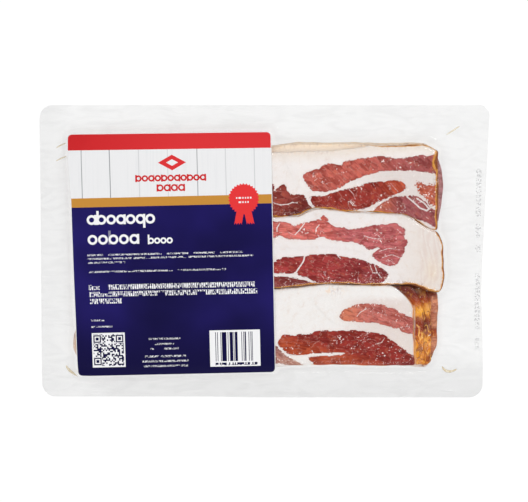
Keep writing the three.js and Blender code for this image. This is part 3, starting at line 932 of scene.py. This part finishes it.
MIDDLE_KNOB_LEAN = lean_patch(
    [(36.6, 22.6), (37.9, 23.9), (39.3, 23.7), (41.4, 21.4), (39.8, 19.5), (37.5, 20)],
    paint(200, 96, 90), grain=-40,
)
MIDDLE_LONG_LEAN = lean_patch(
    [(-8, -5.8), (6.8, -5.9), (8.5, -4.5), (12.5, -2.8), (18.6, -2.5), (26.4, -2), (30.1, -1.2),
     (45.2, -0.8), (48, -2), (55.3, -3), (60.2, -3.7), (67.4, -6.1), (73.7, -8.6), (77.3, -11.1),
     (79.8, -13.5), (78.7, -16.3), (75.8, -18.8), (69.7, -20.6), (55.4, -21.5), (39.4, -21), (33, -18.6),
     (28.8, -16.3), (23.1, -14.7), (20.7, -12.8), (16.6, -13.2), (10.5, -13.1), (-8, -12.2)],
    paint(162, 60, 60), paint(142, 54, 58), fade=((30, -8), (76, -14)), grain=-14,
)
MIDDLE_DARK_LEAN = lean_patch(
    [(-8, -14.8), (12.5, -15.3), (18.7, -15.7), (24.8, -17.3), (30.9, -18.9), (37, -20.8),
     (30.9, -25), (-8, -27)],
    paint(136, 60, 58), grain=-10,
)
MIDDLE_SEAMS = [
    (0.3, (10.5, 19.2), (8.6, 16.1), (8.6, 13.6)),
    (0.3, (26.2, 19), (23, 14.8), (20.1, 11.6)),
    (0.22, (15.6, 13.6), (18.8, 11.6)),
    (0.22, (23.3, 14.2), (26.5, 12.5), (29, 12.9)),
    (0.3, (35.5, 18), (33.5, 15.5), (33.5, 13.5)),
    (0.2, (64, 11), (70, 9.3), (76, 9)),
    (0.2, (74, 1), (80, 3), (87, 2)),
    (0.2, (76, -3), (82, -1), (87, -3)),
    (0.45, (26.4, -1.2), (25.6, -5.3), (23.1, -9), (20.3, -13)),
    (0.3, (47, -1), (49, -3.4)),
    (0.25, (71, -8), (73, -13), (75.5, -16)),
    (0.25, (68, -7.5), (70, -13)),
]
# Where the painted glints gather: the place and radius of each spot.
MIDDLE_SHINE = [
    (24, 15, 4), (10, 11, 3), (36, 14, 4), (74, 11, 5), (85, 14, 4), (80, -5, 4), (57, -16, 5), (69, -16, 5),
    (74, -12, 4), (78, -14, 4), (40, -16, 5), (16, -18, 4),
]
top_middle = Rasher(middle_stack, LAYERS - 1, (-0.8, -0.8, 0, 0))


def mark_top_middle(x, y):
    """A tan corner by exp(-(d/r)²), and wrinkles' painted shade by a sine whose phase swings along them."""
    low, high, _, right = top_middle.sides(x, y)
    fat = tinted(MIDDLE_FAT, MIDDLE_FAR_FAT, ease(x, 78, 100))
    fat = tinted(fat, CORNER_TAN, np.exp(-(((x - 108) / 5) ** 2 + ((y + 12) / 8) ** 2)) * 0.55)
    # Painted shade: tan stripes stand for the shade in the fat's wrinkles.
    wrinkle_shade = 0.5 + 0.5 * np.sin(1.9 * x + 2.6 * np.sin(y / 6) + 1.3 * np.sin(y / 2.3 + x))
    fat = tinted(fat, WRINKLE_SHADE_TAN, wrinkle_shade * ease(x, 97, 102) * ease(y, -24, -18) * 0.42)
    patches = [MIDDLE_PALE_LEAN, MIDDLE_KNOB_LEAN, MIDDLE_LONG_LEAN, MIDDLE_DARK_LEAN]
    marks = marking(x, y, patches, MIDDLE_SEAMS, fat, MIDDLE_SHINE)
    marks["rim"] = np.maximum.reduce([
        near_side(high, 0.9, 0.8), near_side(right, 2.4, 1.4),
        near_side(low, 2.2 + 1.8 * ease(x, 78, 98), 1.3 + 0.15 * ease(x, 78, 98)),
    ])
    marks["mottle"] = 0.6 * (1 - ease(low, 1.5, 5)) * ease(x, 78, 95)
    return marks


piece = add_rasher("middle_row_rasher_5", top_middle, mark_top_middle)
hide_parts("rashers_middle_row")


# ---- The webs ---------------------------------------------------------------------------------
# Two clear webs of barrier film, sealed together all round. The lower one is flat, and the vacuum
# draws the upper one down over the bacon and the label's underside, with ripples round them.
pouch_low, pouch_high = (np.array(corner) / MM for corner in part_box("pouch"))
WAIST_Y = -30.0
WAIST_DRAW = 3.4  # how far the right-hand side is drawn in at its waist
WAIST_HANDLE = 30.0
LOWER_DRAW = 1.5  # and at its foot
WEB_LEAN = 0.6  # how far the head is off to the right, and the foot's right half outwards
POUCH_CORNERS = (9.0, 8.5, 9.0, 6.5)  # lower and upper left, lower and upper right
WEB_PITCH = 1.15
RASTER_CELL = 0.5
WEB_RADIUS = 1.7  # how tightly the web can turn into a corner
WEB_CLEARANCE = 0.12
SEAL_WIDTH = 8.0
SEAL_HEIGHT = 0.6  # of the two webs where they are sealed, before the clearance
SEAL_PRESS = 0.45  # how far the seal presses the rim down
RIM_HEIGHT = 0.14
RIPPLE_HEIGHT = 0.4

LABEL_WIDTH = 128.9
LABEL_HEIGHT = 155.7
LABEL_TAPER = 1.0  # how much narrower it is along its lower edge
LABEL_FLARE = 1.6  # how far its upper left corner is drawn out
LABEL_CORNER = 3.0
LABEL_CENTRE = (-57.85, -1.2)
LABEL_TURN = np.radians(1.3)
LABEL_HEAD_TURN = 0.010  # how much of that turn its head lacks
LABEL_LIFT = 0.3
LABEL_BEND = 4.0
LABEL_DROOP = 0.02
LABEL_CORNER_DROOP = 1.5
LABEL_MARGIN = 0.5  # how far about its edge the web turns to it
LABEL_GAP = 0.04  # the least between it and the web


def label_height(x, y):
    """The label's underside: over the tops of the stacks, bending down past the edges of the
    bacon by the square of the distance, and most at the upper left corner."""

    def past(distance):
        return LABEL_DROOP * np.maximum(distance + LABEL_BEND, 0) ** 2

    droop = past(y - outer_upper_edge(x)) + past(outer_lower_edge(x) - y) + past(BACON_LEFT - x)
    corner = LABEL_CORNER_DROOP * ease(-x, 108, 122) * ease(y, 52, 70)
    return stack_top(y) + LABEL_LIFT - droop - corner


def label_coordinates(x, y):
    """Places on the pack as places on the flat label."""
    across, up = x - LABEL_CENTRE[0], y - LABEL_CENTRE[1]
    return (
        across * np.cos(LABEL_TURN) + up * np.sin(LABEL_TURN),
        up * np.cos(LABEL_TURN) - across * np.sin(LABEL_TURN),
    )


def label_sides(v):
    """How far out the label's left and right sides are at a height on it."""
    half_width = LABEL_WIDTH / 2 - LABEL_TAPER / 4 * (1 - v / (LABEL_HEIGHT / 2))
    return half_width + LABEL_FLARE * ease(v, 30, LABEL_HEIGHT / 2), half_width


def under_label(x, y, margin):
    """Whether a place is under the label, at least a margin in from its edge."""
    u, v = label_coordinates(x, y)
    left, right = label_sides(v)
    return (u > margin - left) & (u < right - margin) & (np.abs(v) < LABEL_HEIGHT / 2 - margin)


def drawn_down(solid, radius):
    """The closing of a raster of heights by a paraboloid of this radius at its tip: the largest
    of the heights round about less d²/2r, and then the smallest of those plus d²/2r."""
    reach = int(np.sqrt(2 * radius * STACK_TOP) / RASTER_CELL) + 1
    for sign, pick in ((-1, np.maximum), (1, np.minimum)):
        for axis in (0, 1):
            lifted = [
                np.roll(solid, shift, axis) + sign * (shift * RASTER_CELL) ** 2 / (2 * radius)
                for shift in range(-reach, reach + 1)
            ]
            solid = pick.reduce(lifted)
    return solid


def ripples(x, y):
    """The low waves of the loose margins, from 0 to 1: sines that run along the nearer side."""
    across = np.sin(y / 2.3 + 0.8 * np.sin(x / 31) + 0.02 * x) * ease(np.abs(y), 66, 80)
    along = np.sin(x / 2.7 + 0.9 * np.sin(y / 23)) * ease(np.abs(x), 108, 124)
    cross = np.sin((x + y) / 7.1) * np.sin((x - 0.6 * y) / 9.3)
    return 0.5 + 0.2 * across + 0.2 * along + 0.1 * cross


raster_x = np.arange(pouch_low[0], pouch_high[0] + RASTER_CELL, RASTER_CELL)
raster_y = np.arange(pouch_low[1], pouch_high[1] + RASTER_CELL, RASTER_CELL)
ground_x, ground_y = np.meshgrid(raster_x, raster_y, indexing="ij")
covered = np.full(ground_x.shape, SEAL_HEIGHT)
for rasher in laid_rashers:
    sides = np.minimum.reduce(rasher.sides(ground_x, ground_y))
    height = rasher.faces(ground_x, ground_y, np.maximum(sides, 0))[0]
    covered = np.where(sides > 0, np.maximum(covered, height), covered)
label_under = label_height(ground_x, ground_y)
lifted = np.maximum(covered, label_under - WEB_CLEARANCE)
covered = np.where(under_label(ground_x, ground_y, LABEL_MARGIN), lifted, covered)
web_raster = drawn_down(covered, WEB_RADIUS)
grown = [np.roll(np.roll(web_raster, i, 0), j, 1) for i in (-1, 0, 1) for j in (-1, 0, 1)]
web_raster = 0.5 * np.maximum.reduce(grown) + 0.5 * np.mean(grown, 0) + WEB_CLEARANCE
below_label = np.minimum(web_raster, label_under - LABEL_GAP)
web_raster = np.where(under_label(ground_x, ground_y, -LABEL_MARGIN), below_label, web_raster)


def web_height(x, y):
    """The web's height at places between the raster's own, weighted by how near each of the four
    about it is."""
    across = np.clip((x - raster_x[0]) / RASTER_CELL, 0, len(raster_x) - 1.001)
    up = np.clip((y - raster_y[0]) / RASTER_CELL, 0, len(raster_y) - 1.001)
    i, j = across.astype(int), up.astype(int)
    s, t = across - i, up - j
    near = web_raster[i, j] * (1 - s) + web_raster[i + 1, j] * s
    far = web_raster[i, j + 1] * (1 - s) + web_raster[i + 1, j + 1] * s
    return near * (1 - t) + far * t


def right_side(y):
    """The x of the pouch's right-hand side, in two parabolas that meet upright at the waist: each
    is (1 - t)² a + 2t(1 - t) b + t² c between its ends a and c, with its handle at b."""
    t = np.linspace(0, 1, 60)
    right = pouch_high[0]
    foot = (right - LOWER_DRAW, pouch_low[1] + POUCH_CORNERS[2])
    waist = (right - WAIST_DRAW, WAIST_Y)
    head = (right, pouch_high[1] - POUCH_CORNERS[3])
    parts = []
    for start, handle, end in (
        (foot, (foot[0], WAIST_Y - WAIST_HANDLE), waist), (waist, (waist[0], WAIST_Y + WAIST_HANDLE), head),
    ):
        parts.append([
            (1 - t) ** 2 * a + 2 * t * (1 - t) * b + t**2 * c for a, b, c in zip(start, handle, end)
        ])
    side_x, side_y = np.concatenate(parts, axis=1)
    return np.interp(y, side_y, side_x)


MILKY_SHADE_GREY = paint(150, 151, 152)
STAMP_GREY = paint(150, 152, 156)


def web_finish():
    """Clear film: what isn't mirrored at its surface goes through, but for a thin milky haze that
    thickens in streaks along the margins and greys them more towards the foot and the left-hand
    side as painted shade, and the pale grey ticks of a packing line's stamp."""
    web = Finish("clear_barrier_film")
    place = web.place()
    parts = web.node("SeparateXYZ", None, {0: place})
    x, y = parts.output("X"), parts.output("Y")
    taut = web.attribute("taut")
    streaky = web.noise(web.vector("MULTIPLY", place, (0.06, 0.16, 0.1)), 1.0, 4, 1.2)
    # Painted shade: more grey haze towards the foot and the left-hand side of the margins.
    foot = y.step(-60, -95) * (0.3 + 0.7 * x.step(-138, -80))
    haze_and_shade = 0.04 + 0.026 * streaky.step(0.35, 0.75) + 0.07 * foot + 0.03 * (1 - x.step(-142, -118))
    haze_and_shade = (1 - taut) * haze_and_shade

    dots = web.chance(x.cell(0.55), y.cell(0.6)).over(0.56)
    gaps = web.chance(y.cell(4.6)).over(0.22)
    letters = 1 - y.zigzag(1.3).step(0.95, 1.0)
    stamp = x.near(139.2, 1.65) * y.near(-6.0, 60.0) * dots * gaps * letters

    wrinkles = web.noise(place, 0.35, 2, 1.0)
    pebble = web.noise(place, 0.8, 2, 0.4)
    relief = web.bump(wrinkles * (0.5 + taut) + pebble * taut * 0.4, 0.12)
    clear = web.node("BsdfTransparent", None, {"Color": (0.988, 0.988, 0.987, 1)})
    mirror = web.node("BsdfGlossy", None, {"Color": (1, 1, 1, 1), "Roughness": 0.07, "Normal": relief})
    gloss = web.node("Fresnel", None, {"IOR": 1.4, "Normal": relief})
    film = web.layer(gloss * 0.4, clear, mirror)
    film = web.layer(haze_and_shade, film, web.node("BsdfDiffuse", None, {"Color": MILKY_SHADE_GREY}))
    return web.surface(web.layer(stamp * 0.22, film, web.node("BsdfDiffuse", None, {"Color": STAMP_GREY})))


pouch_width, pouch_depth = pouch_high[0] - pouch_low[0], pouch_high[1] - pouch_low[1]
along, across = (stations(size, WEB_PITCH, WEB_PITCH, 20) for size in (pouch_width, pouch_depth))
u, v, from_rim = rounded_plan(pouch_width, pouch_depth, along, across, POUCH_CORNERS)
web_y = v - WEB_LEAN * ease(-v, 60, pouch_depth / 2) * ease(u, -40, 0)
web_x = pouch_low[0] + (right_side(v) - pouch_low[0]) * (u / pouch_width + 0.5) + WEB_LEAN * ease(v, -70, 60)
sampled = web_height(web_x, web_y - CONTENTS_SHIFT)
loose = ease(from_rim, 1, SEAL_WIDTH) * (1 - ease(sampled, 0.8, 2.5))
web_top = sampled - SEAL_PRESS * (1 - ease(from_rim, 0, SEAL_WIDTH))
web_top = web_top + RIPPLE_HEIGHT * loose * (ripples(web_x, web_y) - 0.5)
rounded_rim = quarter_round(from_rim, 0.5)
web_top = RIM_HEIGHT + (web_top - RIM_HEIGHT) * rounded_rim
points, faces = closed_grid(web_x, web_y, web_top, RIM_HEIGHT * (1 - rounded_rim))
piece = add_piece(
    "sealed_webs", points, faces, web_finish(), {"taut": ease(sampled, 3, 8)}, below=0, shift=0
)
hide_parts("pouch")


# ---- The folds --------------------------------------------------------------------------------
# Small folds that the vacuum leaves in the webs at the corners, and that the seal holds. A little
# of the juice of cure and smoke has run into them.
FOLD_RISE = 0.3
FOLD_LIFT = 0.05  # how far it stands off the web
JUICE_GOLD = paint(214, 188, 128)
JUICE_PALE = paint(240, 230, 205)


def juice_finish():
    """Film folded on itself over a trace of juice: pale, and gold where it is thicker."""
    juice = Finish("juice_in_a_fold")
    patchy = juice.noise(juice.place(), 0.8, 3)
    colour = juice.blend(patchy.step(0.35, 0.65), JUICE_GOLD, JUICE_PALE)
    return juice.surface({
        "Base Color": colour, "Roughness": 0.25 + 0.1 * patchy, "Alpha": 0.25 + 0.45 * patchy,
    })


folded_film = juice_finish()


def add_fold(name, line, width):
    """A fold along a parabola through three places. Its half width is that of a spindle, √sin(πt),
    and its section is a half ellipse from one foot to the other."""
    here = np.array(line, float)
    t = np.linspace(0, 1, 28)
    spread = np.linspace(0, 1, len(here))
    centre = np.stack([np.polyval(np.polyfit(spread, here[:, i], 2), t) for i in (0, 1)], -1)
    heading = np.gradient(centre, axis=0)
    heading /= np.linalg.norm(heading, axis=1)[:, None]
    aside = np.stack([-heading[:, 1], heading[:, 0]], -1)
    half = width / 2 * np.sqrt(np.sin(np.pi * np.clip(t, 0.004, 0.996)))
    s = np.linspace(-1, 1, 9)
    plan = centre[:, None] + aside[:, None] * (half[:, None] * s)[..., None]
    x, y = plan[..., 0], plan[..., 1]
    foot = web_height(x, y) + FOLD_LIFT
    arch = FOLD_RISE * np.sqrt(1 - s**2)[None] * np.sin(np.pi * t)[:, None] ** 0.5
    arch[[0, -1]] = 0
    points, faces = closed_grid(x, y, foot + arch, foot - 0.1 * arch)
    add_piece(name, points, faces, folded_film)


# Each fold: three places along it, and its width.
FOLDS = {
    "fold_top_left_upper": ([(-133.8, 66.8), (-130.6, 68.6), (-126.7, 70)], 0.9),
    "fold_top_left_lower": ([(-134, 58.4), (-130.1, 60.3), (-126.2, 61.6)], 0.9),
    "fold_top_right": ([(117.6, 75.1), (122.1, 78), (126.5, 80.9)], 0.9),
    "fold_bottom_right": ([(116.7, -75.6), (120.5, -78.9), (126.6, -77.4)], 1.8),
    "fold_bottom_left": ([(-129.1, -75), (-126, -79), (-120.6, -81.6)], 1.8),
}
for name, (line, width) in FOLDS.items():
    add_fold(name, line, width)


# ---- The label --------------------------------------------------------------------------------
# A thin paper label with a satin coat, cut with round corners and stuck on the upper web. Printed
# in fields: red, white planks, gold and navy, with a red rosette, and with made-up letters and
# random ticks where words go.
LABEL_THICKNESS = 0.3
LABEL_PITCH = 1.3
PRINT_SHIFT = (0.45, -0.2)  # how far the print is off the middle of the cut label
NAVY = paint(32, 25, 96)
DEEP_NAVY = paint(16, 12, 58)
PRINT_RED = paint(210, 50, 53)
# dark red of the print, and of the painted shade at the red field's left-hand end
DARK_RED_PRINT_AND_SHADE = paint(196, 38, 42)
ROSETTE_RED = paint(219, 54, 56)
PRINT_GOLD = paint(190, 134, 57)
PRINT_WHITE = paint(232, 232, 233)
PLANK_WHITE = paint(226, 226, 227)
PLANK_GRAIN = paint(214, 215, 217)
INK_GREY = paint(112, 113, 118)
WHITE_EDGE = 0.45
RED_FOOT = 67.2
GOLD_HEAD, GOLD_FOOT = 37.2, 31.4
# Each joint between planks: its place across the label, and how dark it is.
PLANK_JOINTS = [
    (-56.3, 0.8), (-38.3, 0.9), (-19.8, 0.3), (-1.4, 0.25), (17.4, 0.75), (35.5, 0.3), (53.8, 0.35),
]
ROSETTE = (46.5, 34.6)
ROSETTE_RADIUS = 9.0  # inside its teeth, which stand out a millimetre
ROSETTE_POINTS = 30
# Each bar: its left and right ends, the height of its middle, and its own height.
READING_BARS = [(-54.1, 52.2, -20.0, 3.3), (-53.8, 53.9, -24.5, 3.3), (-53.6, -33.4, -29.0, 3.3)]
SMALL_BARS = [
    (-54.2, 45, 0.8, 1.1), (-54.2, 51.7, -1.6, 1.1), (-54.2, -30.2, -4.1, 1.1), (-54.2, 34, -10.0, 1.1),
    (-53.4, -45, -41.4, 1.1), (-53.3, -40, -45.6, 1.1), (-16.8, 3.5, -54.2, 1.1), (-12.9, -0.7, -57.6, 1.1),
    (-15.7, 2.4, -60.7, 1.1), (-19.4, 6.8, -65.6, 1.2), (-21.3, 8.5, -68.8, 1.2), (-20.4, 7.9, -71.9, 1.2),
]
# Each row of made-up letters: its ends, middle and height, how many, where its chances start, and
# the room for stems above and below, in heights.
TITLE_ROWS = [
    (-53.9, -10.3, 23.3, 6.3, 7, 3, 2), (-53.9, -20.6, 10.6, 6.3, 5, 21, 2), (-15.3, 0.6, 9.2, 4.4, 4, 33, 2),
]
NAME_ROWS = [(-22.3, 22.9, 48.9, 4.5, 11, 52, 1), (-8.9, 9.3, 42.7, 4.5, 4, 71, 1)]
LOZENGE = (1.4, 58.7, 9.0, 5.0)  # its middle, and its half width and half height
SQUARE_CODE = (-53.3, -32.1, -60.8, 22.4)
SQUARE_MODULES = (-52.4, -33.0, -60.8, 20.6)
CODE_EYES = [(-49.9, -53.5), (-35.5, -53.5), (-49.9, -68.1)]
BAR_CODE = (22.4, 54.8, -61.4, 23.6)
BAR_LINES = (25.5, 53.3, -60.3, 18.9)
BAR_DIGITS = (25.8, 52.8, -71.5, 1.7)


def label_finish():
    """The print, in the label's own millimetres: fields and bars are where both coordinates are
    close to a middle, and the rosette is a disc whose radius goes up and down thirty times."""
    label = Finish("satin_printed_paper")
    parts = label.node("SeparateXYZ", None, {0: label.attribute("print", "Vector")})
    u, v = parts.output("X"), parts.output("Y")
    place = label.place()

    def bar(left, right, middle, height):
        """1 in a rectangle from left to right, about a middle height."""
        return u.near((left + right) / 2, (right - left) / 2) * v.near(middle, height / 2)

    def any_of(bars):
        """1 in any of the rectangles."""
        total = bar(*bars[0])
        for each in bars[1:]:
            total = total | bar(*each)
        return total

    def ticks(width, height, seed, bare):
        """Cells of a size, all but a bare share of them filled, as chance has it."""
        return label.chance(u.cell(width), v.cell(height) + seed).over(bare)

    def made_up_letters(left, right, middle, height, count, seed, room):
        """A row of rings with a stem on one side or none, as chance has it, that spells nothing."""
        pitch = (right - left) / count
        index = (u - left).cell(pitch)
        chance = label.chance(index + seed)
        across, up = u - left - (index + 0.5) * pitch, v - middle
        half_stroke = 0.12 * height
        radius = min(height, pitch) / 2 - half_stroke
        ring = label.math("SQRT", across * across + up * up).near(radius, half_stroke)
        short = up.near(0.0, height / 2) * chance.over(0.74)
        deep = up.near(-0.2 * height, 0.7 * height) * chance.over(0.59) * (1 - chance.over(0.74))
        tall = up.near(0.2 * height, 0.7 * height) * (1 - chance.over(0.24))
        stems = across.near(radius, half_stroke) * (short | deep) | across.near(-radius, half_stroke) * tall
        return bar(left, right, middle, room * height) * (ring | stems)

    fade = label.noise(place, 0.02, 2)
    navy = label.blend(v.step(-76, -30) * fade.step(0.2, 0.8), DEEP_NAVY, NAVY)
    grain = label.noise(label.vector("MULTIPLY", place, (0.9, 0.03, 0.1)), 1.0, 3, 0.6)
    joints = [((1 - abs(u - at).step(0.08, 0.42)) * strength, INK_GREY) for at, strength in PLANK_JOINTS]
    planks = label.coated(PLANK_WHITE, (grain.step(0.45, 0.75) * 0.35, PLANK_GRAIN), *joints)
    # Painted shade: the red field darkens towards its left-hand end, where the label bends down.
    red = label.blend(u.step(-66, 20), DARK_RED_PRINT_AND_SHADE, PRINT_RED)
    fields = ((GOLD_FOOT, PRINT_GOLD), (GOLD_HEAD, planks), (RED_FOOT, red))
    coats = [(v.step(foot - 0.02, foot), colour) for foot, colour in fields]

    coats += [(made_up_letters(*row), PRINT_WHITE) for row in TITLE_ROWS]
    reading = any_of(READING_BARS) * (ticks(0.46, 1.1, 5.0, 0.36) * u.zigzag(0.69).step(0.14, 0.20))
    coats.append((reading * ticks(5.2, 4.8, 17.0, 0.10), PRINT_WHITE))
    small = any_of(SMALL_BARS) * ticks(0.42, 0.55, 3.0, 0.46) * ticks(3.4, 2.0, 11.0, 0.12)
    coats.append((small * 0.8, PRINT_WHITE))
    coats += [(made_up_letters(*row), DARK_RED_PRINT_AND_SHADE) for row in NAME_ROWS]
    lozenge = abs(u - LOZENGE[0]) / LOZENGE[2] + abs(v - LOZENGE[1]) / LOZENGE[3]
    coats.append(((1 - lozenge.step(0.99, 1.0)) * lozenge.over(0.42), PRINT_RED))

    coats.append((bar(*SQUARE_CODE), PRINT_WHITE))
    coats.append((bar(*SQUARE_MODULES) * ticks(0.93, 0.93, 29.0, 0.46), DEEP_NAVY))
    for eye_u, eye_v in CODE_EYES:
        for size, colour in ((5.6, PRINT_WHITE), (4.9, DEEP_NAVY), (3.3, PRINT_WHITE), (1.9, DEEP_NAVY)):
            coats.append((bar(eye_u - size / 2, eye_u + size / 2, eye_v, size), colour))
    coats.append((bar(*BAR_CODE), PRINT_WHITE))
    coats.append((bar(*BAR_LINES) * label.chance(u.cell(0.42)).over(0.48), DEEP_NAVY))
    coats.append((bar(*BAR_DIGITS) * ticks(0.75, 4.0, 41.0, 0.35), DEEP_NAVY))

    across, up = u - ROSETTE[0], v - ROSETTE[1]
    radius = label.math("SQRT", across * across + up * up)
    around = label.math("ARCTAN2", up, across) * (ROSETTE_POINTS / (2 * np.pi))
    disc = 1 - (radius - around.zigzag(0.5) * 2.0).step(ROSETTE_RADIUS - 0.03, ROSETTE_RADIUS + 0.03)
    for side in (-1, 1):
        lean = across * side - 0.2 * (-5.0 - up)
        tail = lean.near(1.8, 2.4) * (up - (lean + 0.6).zigzag(0.8) * 1.6).step(-16.4, -16.3)
        coats.append((tail * (1 - up.step(-3, -2.9)), ROSETTE_RED))
    badge = any_of([
        (ROSETTE[0] - 4.9, ROSETTE[0] + 4.9, ROSETTE[1] + 0.6, 1.1),
        (ROSETTE[0] - 3.7, ROSETTE[0] + 3.7, ROSETTE[1] - 2.1, 1.1),
    ])
    coats += [(disc, ROSETTE_RED), (badge * ticks(0.8, 9.0, 2.0, 0.15), PRINT_WHITE)]
    clear_of_edge = label.attribute("edge").step(WHITE_EDGE - 0.05, WHITE_EDGE)
    base = label.blend(clear_of_edge, PRINT_WHITE, label.coated(navy, *coats))

    tooth = label.noise(place, 3.0, 2)
    return label.surface({
        "Base Color": base, "Roughness": 0.40 + 0.08 * tooth, "Normal": label.bump(tooth, 0.05, 0.15),
        "Specular IOR Level": 0.05,
    })


along, across = (stations(size, LABEL_PITCH, LABEL_PITCH, 20) for size in (LABEL_WIDTH, LABEL_HEIGHT))
u, v, edge = rounded_plan(LABEL_WIDTH, LABEL_HEIGHT, along, across, [LABEL_CORNER] * 4)
left, right = label_sides(v)
u = u / (LABEL_WIDTH / 2) * np.where(u < 0, left, right)
placed_v = v - LABEL_HEAD_TURN * u * ease(v, 35, LABEL_HEIGHT / 2)
label_x = LABEL_CENTRE[0] + u * np.cos(LABEL_TURN) - placed_v * np.sin(LABEL_TURN)
label_y = LABEL_CENTRE[1] + u * np.sin(LABEL_TURN) + placed_v * np.cos(LABEL_TURN)
under = label_height(label_x, label_y)
thick = LABEL_THICKNESS * quarter_round(edge, 0.25)
points, faces = closed_grid(label_x, label_y, under + thick, under)
print_place = np.stack([u + PRINT_SHIFT[0], v + PRINT_SHIFT[1], 0 * u], -1)
marks = {"print": print_place, "edge": edge}
piece = add_piece("printed_label", points, faces, label_finish(), marks)
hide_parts("label")


# ---- The studio -------------------------------------------------------------------------------
# A table of white glass lit from below, under a ring of soft light with a dark hole at its middle
# for the camera, which looks straight down but for a few degrees, and three small lights.
CAMERA_TILT = np.radians(4.9)
CAMERA_DISTANCE = 0.9
CAMERA_LENS = 94.44
LOOK_AT = Vector((0.0003, 0.0007, 0.0))
TABLE_SIZE = 3.0
TABLE_DROP = 0.0001  # how far it is below the pack, so that the two don't flicker
TABLE_GREYS = (0.27, 0.27, 0.27, 1), (0.28, 0.28, 0.28, 1)
TABLE_GLOW = 0.71
WALL_LIGHT = 0.6
SOFTBOX_LIGHT = 2.0
HOLE_LIGHT = 0.1
LIGHT_DISTANCE = 1.3

glass = Finish("white_table")
glass_colour = glass.blend(glass.noise(glass.place(), 0.02, 2), *TABLE_GREYS)
table_mesh = bpy.data.meshes.new("table")
half = TABLE_SIZE / 2
corners = [(-half, -half), (half, -half), (half, half), (-half, half)]
table_mesh.from_pydata([(x, y, -TABLE_DROP) for x, y in corners], [], [(0, 1, 2, 3)])
table_mesh.materials.append(glass.surface({
    "Base Color": glass_colour, "Roughness": 0.9,
    "Emission Color": (1, 1, 1, 1), "Emission Strength": TABLE_GLOW,
}))
table = bpy.data.objects.new("table", table_mesh)
bpy.context.scene.collection.objects.link(table)

room = Finish("white_room", bpy.data.worlds)
up = room.node("SeparateXYZ", None, {0: room.node("TexCoord").output("Generated")}).output("Z")
walls, softbox, hole = (
    room.node("Background", None, {"Strength": power}) for power in (WALL_LIGHT, SOFTBOX_LIGHT, HOLE_LIGHT)
)
tent = room.layer(up.step(0.92, 0.965), room.layer(up.step(0.6, 0.8), walls, softbox), hole)
room.node("OutputWorld", None, {"Surface": tent})
bpy.context.scene.world = room.data

# Each light: azimuth and elevation in degrees, size in metres and power in watts.
LIGHTS = {
    "key_light": (40, 58, 0.28, 2.5),
    "left_light": (165, 55, 0.28, 1.2),
    "front_light": (285, 55, 0.28, 1.2),
}
for name, (azimuth, elevation, size, power) in LIGHTS.items():
    turn, lift = np.radians(azimuth), np.radians(elevation)
    toward = Vector((np.cos(turn) * np.cos(lift), np.sin(turn) * np.cos(lift), np.sin(lift)))
    lamp = bpy.data.lights.new(name, "AREA")
    lamp.size = size
    lamp.energy = power
    light = bpy.data.objects.new(name, lamp)
    light.location = toward * LIGHT_DISTANCE
    light.rotation_euler = (-toward).to_track_quat("-Z", "Y").to_euler()
    bpy.context.scene.collection.objects.link(light)

camera_data = bpy.data.cameras.new("camera")
camera_data.lens = CAMERA_LENS
camera_data.sensor_width = 36
camera_data.clip_end = 20
camera = bpy.data.objects.new("camera", camera_data)
camera.location = LOOK_AT + CAMERA_DISTANCE * Vector((0, np.sin(CAMERA_TILT), np.cos(CAMERA_TILT)))
camera.rotation_euler = (-CAMERA_TILT, 0, 0)
bpy.context.scene.collection.objects.link(camera)
bpy.context.scene.camera = camera
bpy.context.scene.view_settings.view_transform = "Standard"
